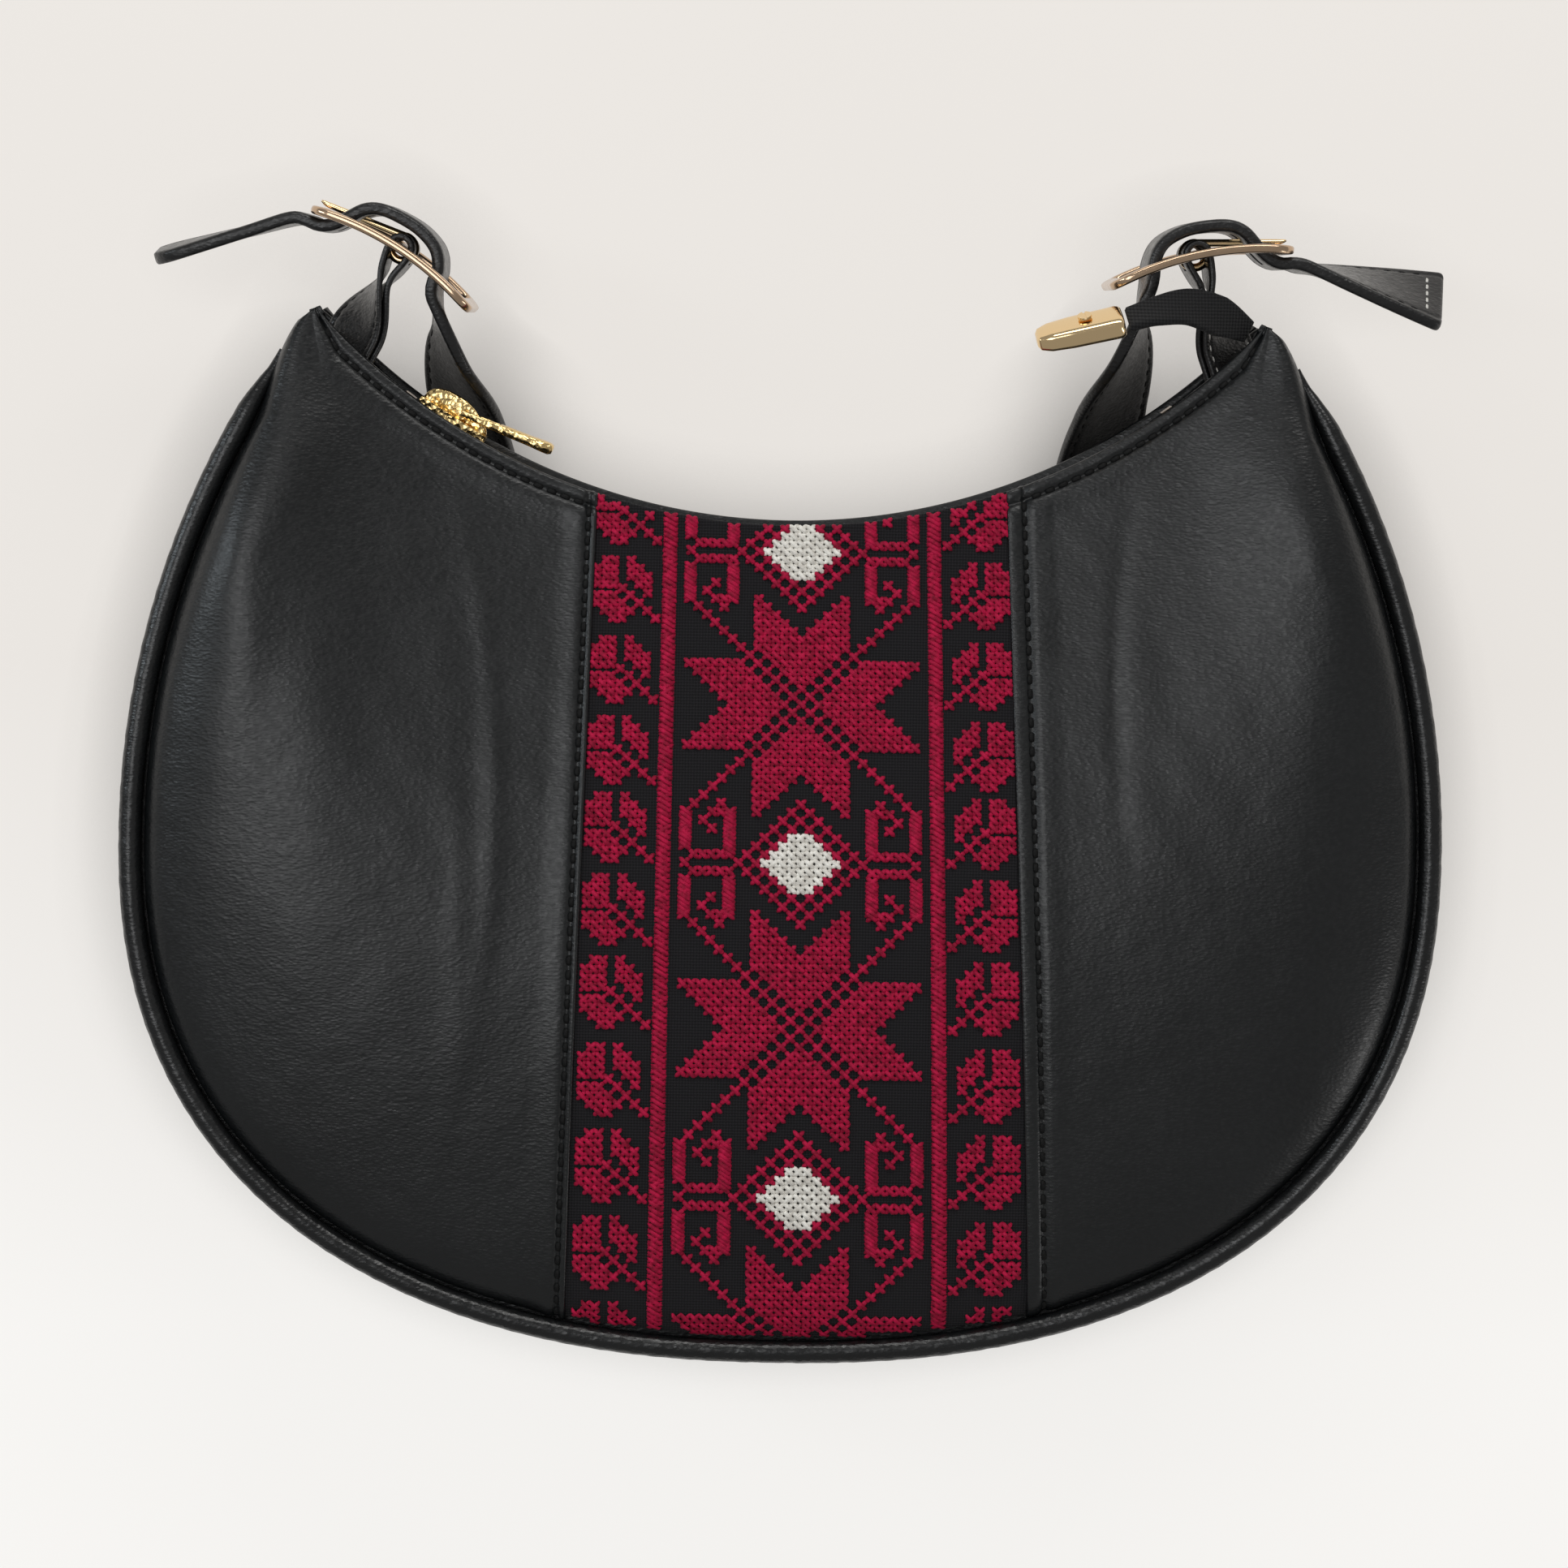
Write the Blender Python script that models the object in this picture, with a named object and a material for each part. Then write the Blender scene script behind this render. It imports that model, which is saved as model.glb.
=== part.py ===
"""Half moon shoulder bag, lying on its back with the strap tucked behind it.

Metres, +Z from the back panel to the front panel, +Y towards the strap, +X to the right seen
from the front. The origin is under the middle of the bag, on the surface that it lies on.
"""

import math

import bmesh
import bpy
import numpy as np
from mathutils import Matrix, Vector

# Outline of the body, seen from the front
HALF_WIDTH = 0.1396
WIDEST_Y = -0.0119
LOWER_DEPTH = 0.1103
LOWER_POWER = 2.3
TOP_ARC_RADIUS = 0.1349
TOP_ARC_DIP_Y = 0.055
TIP_X = 0.0995
TIP_DROP = 0.0023
TIP_OUT = 0.0040

# Depth of the body
REST_HALF_DEPTH = 0.031
EDGE_HALF_DEPTH = 0.0105
GUSSET_HALF_DEPTH = 0.025
GUSSET_FULL_SHARE = 0.30
SLACK_RIB_SHARE = 0.75
FRONT_CROWN = 0.008
FRONT_CROWN_POWER = 1.3
BACK_CROWN = 0.0100
BACK_CROWN_POWER = 2.0
SEAM_DROP = 0.0045
SEAM_ROLL = 0.0032
SEAM_BELOW_PIPING = 0.001

# Walls and clearances
LEATHER = 0.0014
CLOTH = 0.0011
LINING = 0.0006
FACING = 0.0010
FACING_DEPTH_SHARE = 0.10
LINING_START_SHARE = 0.12
LINING_END_SHARE = 0.94
CLEARANCE = 0.0003
LINING_CLEARANCE = 0.0005

# Centre panel, piping and gusset
# The embroidered panel sits a little to the right
LEFT_SEAM_TOP_X = 0.0404
LEFT_SEAM_BOTTOM_X = 0.0453
RIGHT_SEAM_TOP_X = 0.0465
RIGHT_SEAM_BOTTOM_X = 0.0557
PIPING_RADIUS = 0.0023
PIPING_FULL_FROM_TIP = 0.028
PIPING_END_FROM_TIP = 0.0075
GUSSET_INSET = 0.0012
GUSSET_BULGE = 0.0009

# Zip, in the curved plane of the opening
ZIP_RECESS = 0.0016
ZIP_END_FROM_TIP = 0.0200
TAPE_THICKNESS = 0.0006
TOOTH_ROW_GAP = 0.0009
TOOTH_REACH = 0.0018
TOOTH_ABOVE = 0.0009
TOOTH_BELOW = 0.0015
TOOTH_PITCH = 0.0042
TOOTH_RELIEF = 0.0004
STOP_LENGTH = 0.0026

SLIDER_FROM_STOP = 0.0086
SLIDER_LENGTH = 0.0160
SLIDER_HALF_WIDTH = 0.0043
SLIDER_PLATE = 0.0011
SLIDER_RUN_GAP = 0.0004
SLIDER_WEB = 0.0003
SLIDER_LIP = 0.0008
SLIDER_TAPER_SHARE = 0.80
BRIDGE_HEIGHT = 0.0036
BRIDGE_WIDTH = 0.0024
BRIDGE_THICKNESS = 0.0009
BRIDGE_LENGTH_SHARE = 0.82
BRIDGE_FULLNESS = 0.8
PULL_LENGTH = 0.0205
PULL_HALF_WIDTH = 0.0030
PULL_THICKNESS = 0.0016
PULL_ARM = 0.0012
PULL_PIVOT_SHARE = 0.15
PULL_REST_ANGLE = math.radians(11)
PULL_KNOB_WIDTH_SHARE = 0.8
PULL_GAP_SHARE = 0.25
# Shares of the pull's length and of its half width, past the window that the bridge goes through
PULL_OUTLINE_SHARES = ((0.55, 0.85), (0.90, 1.0), (1.0, 0.6))

# Tail of the zip, folded forward over the opening at the right tip
TAIL_WIDTH = 0.0085
TAIL_THICKNESS = 0.0018
TAIL_RUN = 0.0266
TAIL_ARCH = 0.0049
TAIL_RISE = 0.0104
TAIL_PIVOT_FROM_TIP = (-0.0029, -0.0014)
TAIL_FOLD_WIDTH_SHARE = 0.55
# Shares of the straight run from the fold to the cap, of the arch and of the rise
TAIL_ROUTE_SHARES = (
    (0.0, 0.0, 0.0),
    (0.26, 0.63, 0.66),
    (0.53, 1.0, 1.0),
    (0.78, 0.80, 1.0),
    (1.0, 0.41, 0.95),
)
CAP_LENGTH = 0.0185
CAP_WIDTH = 0.0082
CAP_DEPTH = 0.0050
CAP_CORNER_SHARE = 0.30
CAP_SLOPE = math.radians(13.7)
CAP_TILT = math.radians(62)
# Shares of the cap's length and of its cross-section: it narrows to a rounded far end
CAP_OUTLINE_SHARES = ((0.0, 0.93), (0.05, 1.0), (0.60, 0.96), (0.86, 0.86), (0.97, 0.66), (1.0, 0.40))
SCREW_PLACE_SHARE = 0.42
SCREW_RADIUS = 0.0015
SCREW_HEIGHT = 0.0006
SCREW_SLOT = 0.0005

# Strap and tabs
STRAP_WIDTH = 0.019
STRAP_THICKNESS = 0.0026
TAB_WIDTH = 0.016
TAB_ROOT_FROM_TIP = (-0.0060, -0.0080)
TAB_ROOT_TILT = math.radians(45)
TAB_LEATHER = 0.0013
TAB_LAYER_GAP = 0.0005
TAB_SLOT = 0.0034
TAB_INSIDE = 0.0085
TAB_CLOSED_SHARE = 0.30
TAB_TURN_SHARES = (0.15, 0.65)
TAB_STATION_SHARES = (0.25, 0.50, 0.75, 1.0)
LOOP_HALF_SPREAD = 0.067
LOOP_HINGE_Y = 0.040
LOOP_BOTTOM_Y = -0.021
LOOP_NOSE_INSET = 0.0001
HOLE_LENGTH = 0.0085
HOLE_WIDTH = 0.0032
HOLE_END_SHARE = 0.33
# The strap's way through a buckle: shares of the frame's half length, and of the drop under the
# centre bar or the rise over it
HUMP_UNDER_SHARES = ((1.15, 1.28), (1.00, 1.02), (0.85, 0.92), (0.73, 0.62), (0.63, 0.11))
HUMP_OVER_SHARES = ((0.53, 0.52), (0.40, 0.88), (0.20, 1.05), (-0.08, 1.07), (-0.33, 0.76), (-0.47, 0.10))
TAIL_REST_SHARES = (0.0, 0.35, 0.70)
# From the buckle down to the loop: where the leg starts, shares of its way across, down and
# through the depth, and how it turns from standing on edge to lying flat
LEG_START_SHARES = (-0.56, -0.90)
LEG_WAY_SHARES = (
    (0.0, 0.0, 0.0),
    (0.34, 0.19, 0.10),
    (0.66, 0.42, 0.58),
    (0.86, 0.62, 0.88),
    (0.97, 0.82, 0.975),
)
LEG_TILT_DEGREES = (90, 106, 136, 162, 178, 180, 180)

# Buckles: a bowed frame with a centre bar
BUCKLE_HALF_LENGTH = 0.0197
BUCKLE_HALF_WIDTH = 0.0145
BUCKLE_BOW = 0.0031
BUCKLE_THICKNESS = 0.0019
BUCKLE_END_BAR = 0.0030
BUCKLE_RAIL = 0.0034
BUCKLE_BAR = 0.0022
BUCKLE_CORNER_SHARE = 0.80
PRONG_RADIUS = 0.0009
PRONG_TIP_SHARE = 0.65
PRONG_RUN_GAP = 0.00025
PRONG_CURL_START = math.radians(330)
PRONG_SHAFT_SHARES = (0.35, 0.70, 1.0)

# Where each buckle sits from its own tip, and how it leans
RIGHT_BAR_FROM_TIP = (-0.0142, 0.0145)
RIGHT_LEAN = math.radians(12.5)
RIGHT_TAIL_FROM_TIP = (0.0388, 0.0056)
RIGHT_TAIL_TILT = math.radians(52)
LEFT_BAR_FROM_TIP = (-0.0170, 0.0126)
LEFT_LEAN = math.radians(31.6)
LEFT_TAIL_FROM_TIP = (0.0351, 0.0098)
LEFT_TAIL_TILT = math.radians(82)

# Resolution
OUTLINE_STEPS = 400
SIDE_RIBS = 12
CENTRE_RIBS = 6
GUSSET_STEPS = 54
ZIP_STEPS = 24
PATH_STEPS = 3
LOOP_STEPS = 20
BRIDGE_STEPS = 8
TAB_FOLD_STEPS = 8
CURL_STEPS = 10
SHARP_EDGE = math.radians(35)
T_STATION_SHARES = (0.0, 0.03, 0.10, 0.22, 0.36, 0.50, 0.64, 0.77, 0.87, 0.94, 0.98, 1.0)

# Values worked out from the sizes above
MID_Z = REST_HALF_DEPTH
TOP_ARC_CENTRE_Y = TOP_ARC_DIP_Y + TOP_ARC_RADIUS
TIP_ANGLE = math.asin(TIP_X / TOP_ARC_RADIUS)
TIP_Y = TOP_ARC_CENTRE_Y - TOP_ARC_RADIUS * math.cos(TIP_ANGLE)
ZIP_RADIUS = TOP_ARC_RADIUS + ZIP_RECESS
ZIP_HALF_ANGLE = math.asin((TIP_X - ZIP_END_FROM_TIP) / ZIP_RADIUS)
SLIDER_ANGLE = SLIDER_FROM_STOP / ZIP_RADIUS - ZIP_HALF_ANGLE
TAPE_OUTER_Z = EDGE_HALF_DEPTH - LEATHER - LINING_CLEARANCE - FACING - CLEARANCE
TOOTH_INNER_Z = TOOTH_ROW_GAP / 2
TOOTH_OUTER_Z = TOOTH_INNER_Z + TOOTH_REACH
TAPE_INNER_Z = TOOTH_OUTER_Z + CLEARANCE
BAR_REACH = math.hypot(BUCKLE_BAR, BUCKLE_THICKNESS) / 2
RING_RADIUS = BAR_REACH + PRONG_RUN_GAP + PRONG_RADIUS
TAB_LOOP_RADIUS = BAR_REACH + CLEARANCE + TAB_LEATHER / 2
STRAP_RISE = RING_RADIUS + PRONG_RADIUS + CLEARANCE + STRAP_THICKNESS / 2
STRAP_UNDER_BAR = BUCKLE_THICKNESS / 2 + CLEARANCE + STRAP_THICKNESS / 2


def clear_scene():
    for obj in list(bpy.data.objects):
        bpy.data.objects.remove(obj)


def make_material(name, color, roughness, metallic):
    material = bpy.data.materials.new(name)
    material.use_nodes = True
    shader = material.node_tree.nodes["Principled BSDF"]
    shader.inputs["Base Color"].default_value = (*color, 1.0)
    shader.inputs["Roughness"].default_value = roughness
    shader.inputs["Metallic"].default_value = metallic
    return material


def make_materials():
    return {
        "leather": make_material("black_leather", (0.020, 0.021, 0.022), 0.45, 0.0),
        "strap": make_material("strap_leather", (0.018, 0.018, 0.019), 0.38, 0.0),
        "cloth": make_material("embroidered_cloth", (0.30, 0.012, 0.050), 0.85, 0.0),
        "lining": make_material("lining_cloth", (0.030, 0.030, 0.032), 0.90, 0.0),
        "stiffener": make_material("stiffener", (0.45, 0.44, 0.42), 0.95, 0.0),
        "tape": make_material("zip_tape", (0.015, 0.015, 0.016), 0.85, 0.0),
        "gold": make_material("gold_metal", (0.80, 0.58, 0.28), 0.22, 1.0),
    }


def add_object(name, mesh, material, location=(0, 0, 0), parent=None):
    mesh.materials.append(material)
    mesh.shade_smooth()
    mesh.set_sharp_from_angle(angle=SHARP_EDGE)
    obj = bpy.data.objects.new(name, mesh)
    bpy.context.scene.collection.objects.link(obj)
    obj.parent = parent
    obj.location = location
    return obj


def mesh_from_bmesh(name, bm):
    bmesh.ops.recalc_face_normals(bm, faces=bm.faces)
    mesh = bpy.data.meshes.new(name)
    bm.to_mesh(mesh)
    bm.free()
    return mesh


def sheet(name, points, material, thickness, offset, holes=(), location=(0, 0, 0)):
    """A sheet of material over a grid of points, thickened by a Solidify modifier."""
    rows = len(points)
    columns = len(points[0])
    bm = bmesh.new()
    verts = [[bm.verts.new(Vector(p) - Vector(location)) for p in row] for row in points]
    for i in range(rows - 1):
        for j in range(columns - 1):
            if (i, j) in holes:
                continue
            a, b, c, d = verts[i][j], verts[i + 1][j], verts[i + 1][j + 1], verts[i][j + 1]
            bm.faces.new((a, b, c))
            bm.faces.new((a, c, d))
    loose = [v for v in bm.verts if not v.link_faces]
    bmesh.ops.delete(bm, geom=loose, context="VERTS")
    mesh = bpy.data.meshes.new(name)
    bm.to_mesh(mesh)
    bm.free()
    obj = add_object(name, mesh, material, location)
    solidify = obj.modifiers.new("thickness", "SOLIDIFY")
    solidify.thickness = thickness
    solidify.offset = offset
    solidify.use_even_offset = True
    return obj


def tube(name, points, radii, material, location=(0, 0, 0), rings=2):
    """A round bar along the points, with filled ends."""
    curve = bpy.data.curves.new(name, "CURVE")
    curve.dimensions = "3D"
    curve.bevel_depth = 1.0
    curve.bevel_resolution = rings
    curve.use_fill_caps = True
    curve.materials.append(material)
    spline = curve.splines.new("POLY")
    spline.points.add(len(points) - 1)
    for slot, point, radius in zip(spline.points, points, radii):
        slot.co = (*(Vector(point) - Vector(location)), 1.0)
        slot.radius = radius
    obj = bpy.data.objects.new(name, curve)
    bpy.context.scene.collection.objects.link(obj)
    obj.location = location


def prism(name, outline, start, end, place, material, taper_share=1.0):
    """An outline drawn across and carried from start to end along the way that place gives."""
    bm = bmesh.new()
    near = [bm.verts.new(place(start, a * taper_share, b)) for a, b in outline]
    far = [bm.verts.new(place(end, a, b)) for a, b in outline]
    count = len(outline)
    bm.faces.new(near)
    bm.faces.new(reversed(far))
    for i in range(count):
        j = (i + 1) % count
        bm.faces.new((near[j], near[i], far[i], far[j]))
    return add_object(name, mesh_from_bmesh(name, bm), material)


def merge_into(base, other):
    """Joins a second solid to the first with a Boolean union and keeps the second as a guide."""
    other.hide_render = True
    other.display_type = "WIRE"
    union = base.modifiers.new("union_" + other.name, "BOOLEAN")
    union.operation = "UNION"
    union.object = other


def cut_from(base, other):
    other.hide_render = True
    other.display_type = "WIRE"
    cut = base.modifiers.new("cut_" + other.name, "BOOLEAN")
    cut.operation = "DIFFERENCE"
    cut.object = other


def smooth_step(x):
    x = min(max(x, 0.0), 1.0)
    return x * x * (3 - 2 * x)


def blend_values(a, b, share):
    return a + (b - a) * share


def curve_through(points, steps):
    """A smooth curve through the given rows of numbers, as an array with extra rows between."""
    rows = np.asarray(points, float)
    padded = np.vstack([2 * rows[0] - rows[1], rows, 2 * rows[-1] - rows[-2]])
    out = []
    for k in range(1, len(padded) - 2):
        a, b, c, d = padded[k - 1], padded[k], padded[k + 1], padded[k + 2]
        for i in range(steps):
            t = i / steps
            even = b * 2 + (c - a) * t
            bend = (a * 2 - b * 5 + c * 4 - d) * t**2
            turn = (b * 3 - a - c * 3 + d) * t**3
            out.append((even + bend + turn) / 2)
    out.append(rows[-1])
    return np.array(out)


def outline_table():
    """The right half of the outline from the bottom centre to the tip, with outward normals."""
    points = []
    for i in range(OUTLINE_STEPS):
        angle = math.pi / 2 * (1 - i / OUTLINE_STEPS)
        x = HALF_WIDTH * math.cos(angle) ** (2 / LOWER_POWER)
        y = WIDEST_Y - LOWER_DEPTH * math.sin(angle) ** (2 / LOWER_POWER)
        points.append((x, y))
    # The side is an arc that starts upright at the widest place and ends below the tip
    rise = TIP_Y - TIP_DROP - WIDEST_Y
    inwards = HALF_WIDTH - TIP_X - TIP_OUT
    side_radius = (inwards**2 + rise**2) / (2 * inwards)
    centre_x = HALF_WIDTH - side_radius
    last = math.asin(rise / side_radius)
    for i in range(OUTLINE_STEPS + 1):
        angle = last * i / OUTLINE_STEPS
        points.append((centre_x + side_radius * math.cos(angle), WIDEST_Y + side_radius * math.sin(angle)))
    points = np.array(points)
    steps = np.hypot(*np.diff(points, axis=0).T)
    length = np.concatenate([[0.0], np.cumsum(steps)])
    tangent = np.gradient(points, length, axis=0)
    tangent /= np.hypot(*tangent.T)[:, None]
    tangent[0] = (1.0, 0.0)
    outward = np.stack([tangent[:, 1], -tangent[:, 0]], axis=1)
    return points, outward, length


OUTLINE, OUTWARD, ALONG = outline_table()
HALF_LENGTH = ALONG[-1]


def seam_ends(side):
    """Angle of a seam's top end on the top arc and share of its bottom end on the outline."""
    top_x = LEFT_SEAM_TOP_X if side < 0 else RIGHT_SEAM_TOP_X
    bottom_x = LEFT_SEAM_BOTTOM_X if side < 0 else RIGHT_SEAM_BOTTOM_X
    share = float(np.interp(bottom_x, OUTLINE[:OUTLINE_STEPS, 0], ALONG[:OUTLINE_STEPS])) / HALF_LENGTH
    return side * math.asin(top_x / TOP_ARC_RADIUS), side * share


def rim_point(share, inset):
    """A point of the outline: share runs from -1 at the left tip to 1 at the right tip."""
    side = -1.0 if share < 0 else 1.0
    at = abs(share) * HALF_LENGTH
    x = np.interp(at, ALONG, OUTLINE[:, 0]) - inset * np.interp(at, ALONG, OUTWARD[:, 0])
    y = np.interp(at, ALONG, OUTLINE[:, 1]) - inset * np.interp(at, ALONG, OUTWARD[:, 1])
    return side * x, y


def piping_share(share):
    """How much of its full thickness the piping has: it thins out towards the tips."""
    from_tip = (1 - abs(share)) * HALF_LENGTH
    return smooth_step(from_tip / PIPING_FULL_FROM_TIP)


def gusset_half(share):
    """Half the depth of the body at the outline, deepest along the bottom."""
    rest = (abs(share) - GUSSET_FULL_SHARE) / (1 - GUSSET_FULL_SHARE)
    return blend_values(GUSSET_HALF_DEPTH, EDGE_HALF_DEPTH, smooth_step(rest))


def panel_inset(share):
    return CLEARANCE + 2 * PIPING_RADIUS * piping_share(share)


def body_height(angle, share, t, crown, power):
    """Height of a panel's outer face over the middle plane, t from the top edge to the seam."""
    ax, ay = arc_point(angle)
    rx, ry = rim_point(share, panel_inset(share))
    rib = math.hypot(rx - ax, ry - ay)
    base = blend_values(EDGE_HALF_DEPTH, gusset_half(share) + SEAM_DROP - SEAM_BELOW_PIPING, t)
    slack = smooth_step(rib / (LOWER_DEPTH * SLACK_RIB_SHARE))
    swell = crown * slack * math.sin(math.pi * t**power)
    drop = SEAM_DROP * math.exp(-(1 - t) * rib / SEAM_ROLL) * t
    return base + swell - drop


def arc_point(angle, radius=TOP_ARC_RADIUS):
    return radius * math.sin(angle), TOP_ARC_CENTRE_Y - radius * math.cos(angle)


def ribs_between(angle_a, share_a, angle_b, share_b, count):
    return [
        (blend_values(angle_a, angle_b, i / count), blend_values(share_a, share_b, i / count))
        for i in range(count + 1)
    ]


def side_ribs(side):
    ribs = ribs_between(*seam_ends(side), side * TIP_ANGLE, side, SIDE_RIBS)
    return ribs if side > 0 else ribs[::-1]


def centre_ribs():
    return ribs_between(*seam_ends(-1), *seam_ends(1), CENTRE_RIBS)


def all_ribs():
    return side_ribs(-1)[:-1] + centre_ribs() + side_ribs(1)[1:]


def panel_point(angle, share, t, front):
    ax, ay = arc_point(angle)
    rx, ry = rim_point(share, panel_inset(share))
    if front:
        z = MID_Z + body_height(angle, share, t, FRONT_CROWN, FRONT_CROWN_POWER)
    else:
        z = MID_Z - min(body_height(angle, share, t, BACK_CROWN, BACK_CROWN_POWER), MID_Z)
    return blend_values(ax, rx, t), blend_values(ay, ry, t), z


def panel_grid(ribs, front, depth_in, t_from=0.0, t_to=1.0):
    """Points over a panel, one row per rib, moved inwards from its outer face by depth_in."""
    stations = sorted({t_from, t_to, *T_STATION_SHARES})
    grid = np.array([[panel_point(*rib, t, front) for t in stations] for rib in ribs])
    inwards = np.cross(np.gradient(grid, axis=0), np.gradient(grid, axis=1))
    inwards /= np.linalg.norm(inwards, axis=2)[:, :, None]
    grid += inwards * (depth_in if front else -depth_in)
    kept = [i for i, t in enumerate(stations) if t_from <= t <= t_to]
    return grid[:, kept]


def trim_seam(rows, first, last):
    """Moves the first or last rib in by half a clearance, so that neighbours don't touch."""
    rows = [[list(p) for p in row] for row in rows]
    if first:
        for p in rows[0]:
            p[0] += CLEARANCE / 2
    if last:
        for p in rows[-1]:
            p[0] -= CLEARANCE / 2
    return rows


def face_front(rows):
    """The same grid in the order that gives faces which look out of the front of the bag."""
    return rows[::-1]


def build_panels(materials):
    left = trim_seam(panel_grid(side_ribs(-1), True, 0), False, True)
    middle = trim_seam(panel_grid(centre_ribs(), True, LEATHER - CLOTH), True, True)
    right = trim_seam(panel_grid(side_ribs(1), True, 0), True, False)
    sheet("front_panel_left", face_front(left), materials["leather"], LEATHER, -1)
    sheet("embroidered_panel", face_front(middle), materials["cloth"], CLOTH, -1)
    sheet("front_panel_right", face_front(right), materials["leather"], LEATHER, -1)
    sheet("back_panel", panel_grid(all_ribs(), False, 0), materials["leather"], LEATHER, -1)


def build_inner_layers(materials):
    under = LEATHER + LINING_CLEARANCE
    inner_ribs = all_ribs()[1:-1]
    centre = panel_grid(centre_ribs(), True, under, LINING_START_SHARE, LINING_END_SHARE)
    centre = face_front(trim_seam(centre, True, True))
    sheet("embroidery_stiffener", centre, materials["stiffener"], LINING, -1)
    deeper = under + LINING + LINING_CLEARANCE
    front = panel_grid(inner_ribs, True, deeper, LINING_START_SHARE, LINING_END_SHARE)
    sheet("lining_front", face_front(front), materials["lining"], LINING, -1)
    back = panel_grid(inner_ribs, False, under, LINING_START_SHARE, LINING_END_SHARE)
    sheet("lining_back", back, materials["lining"], LINING, -1)
    top_front = panel_grid(all_ribs(), True, under, 0.0, FACING_DEPTH_SHARE)
    sheet("top_facing_front", face_front(top_front), materials["leather"], FACING, -1)
    top_back = panel_grid(all_ribs(), False, under, 0.0, FACING_DEPTH_SHARE)
    sheet("top_facing_back", top_back, materials["leather"], FACING, -1)


def gusset_grid(inset, lower, row_count):
    """Rows of points across the gusset, from the back seam to the front seam."""
    rows = []
    for i in range(GUSSET_STEPS + 1):
        share = blend_values(-1.0, 1.0, i / GUSSET_STEPS)
        half = gusset_half(share) - PIPING_RADIUS - CLEARANCE - lower
        half -= (SEAM_BELOW_PIPING - CLEARANCE) * (1 - piping_share(share))
        row = []
        for k in range(row_count + 1):
            across = blend_values(-1.0, 1.0, k / row_count)
            x, y = rim_point(share, inset + GUSSET_BULGE * across**2)
            row.append((x, y, MID_Z + half * across))
        rows.append(row)
    return rows


def build_gusset(materials):
    outer = gusset_grid(GUSSET_INSET, 0.0, 2)
    sheet("gusset", outer, materials["leather"], LEATHER, -1)
    inner = gusset_grid(GUSSET_INSET + LEATHER + LINING_CLEARANCE, LEATHER + LINING, 2)
    sheet("lining_gusset", inner[2:-2], materials["lining"], LINING, -1)


def build_piping(materials):
    end = 1 - PIPING_END_FROM_TIP / HALF_LENGTH
    for name, side in (("front_piping", 1), ("back_piping", -1)):
        points = []
        radii = []
        for i in range(GUSSET_STEPS + 1):
            share = blend_values(-end, end, i / GUSSET_STEPS)
            radius = PIPING_RADIUS * piping_share(share)
            x, y = rim_point(share, radius)
            points.append((x, y, MID_Z + side * gusset_half(share)))
            radii.append(radius)
        tube(name, points, radii, materials["leather"])


def build_zip_tape(name, side, material):
    rows = []
    for i in range(ZIP_STEPS + 1):
        angle = blend_values(-ZIP_HALF_ANGLE, ZIP_HALF_ANGLE, i / ZIP_STEPS)
        x, y = arc_point(angle, ZIP_RADIUS + TAPE_THICKNESS / 2)
        rows.append([(x, y, MID_Z + side * TAPE_INNER_Z), (x, y, MID_Z + side * TAPE_OUTER_Z)])
    sheet(name, rows, material, TAPE_THICKNESS, 0)


def tooth_row(name, side, material):
    """One row of the closed chain: a bar along the arc, waisted between the teeth."""
    count = int(2 * ZIP_HALF_ANGLE * ZIP_RADIUS / TOOTH_PITCH)
    bm = bmesh.new()
    previous = None
    for i in range(2 * count + 1):
        angle = blend_values(-ZIP_HALF_ANGLE, ZIP_HALF_ANGLE, i / (2 * count))
        waist = TOOTH_RELIEF if i % 2 else 0.0
        low = ZIP_RADIUS + TOOTH_BELOW - waist
        high = ZIP_RADIUS - TOOTH_ABOVE + waist
        inner = MID_Z + side * TOOTH_INNER_Z
        outer = MID_Z + side * TOOTH_OUTER_Z
        corners = ((low, inner), (low, outer), (high, outer), (high, inner))
        ring = [bm.verts.new((*arc_point(angle, r), z)) for r, z in corners]
        if previous is None:
            bm.faces.new(ring)
        else:
            for k in range(4):
                n = (k + 1) % 4
                bm.faces.new((previous[k], previous[n], ring[n], ring[k]))
        previous = ring
    bm.faces.new(reversed(previous))
    add_object(name, mesh_from_bmesh(name, bm), material)


def arc_box(name, angle, length, low, high, z_from, z_to, material):
    """A small block on the arc, between two radii and two heights."""
    half = length / 2

    def place(along, r, z):
        x = r * math.sin(angle) + along * math.cos(angle)
        y = TOP_ARC_CENTRE_Y - r * math.cos(angle) + along * math.sin(angle)
        return x, y, MID_Z + z

    outline = ((low, z_from), (low, z_to), (high, z_to), (high, z_from))
    prism(name, outline, -half, half, place, material)


def build_zip(materials):
    for word, side in (("front", 1), ("back", -1)):
        build_zip_tape("zip_tape_" + word, side, materials["tape"])
        tooth_row("zip_teeth_" + word, side, materials["gold"])
    past = ZIP_HALF_ANGLE + (STOP_LENGTH / 2 + CLEARANCE) / ZIP_RADIUS
    low = ZIP_RADIUS - TOOTH_ABOVE
    high = ZIP_RADIUS + TOOTH_BELOW
    gold = materials["gold"]
    for name, side in (("zip_stop_left", -1), ("zip_stop_right", 1)):
        arc_box(name, side * past, STOP_LENGTH, low, high, -TOOTH_OUTER_Z, TOOTH_OUTER_Z, gold)


def slider_place(along, z, up):
    """Local axes of the slider: along the chain, across it and up out of the bag."""
    return along, -ZIP_RADIUS + up, z


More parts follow.
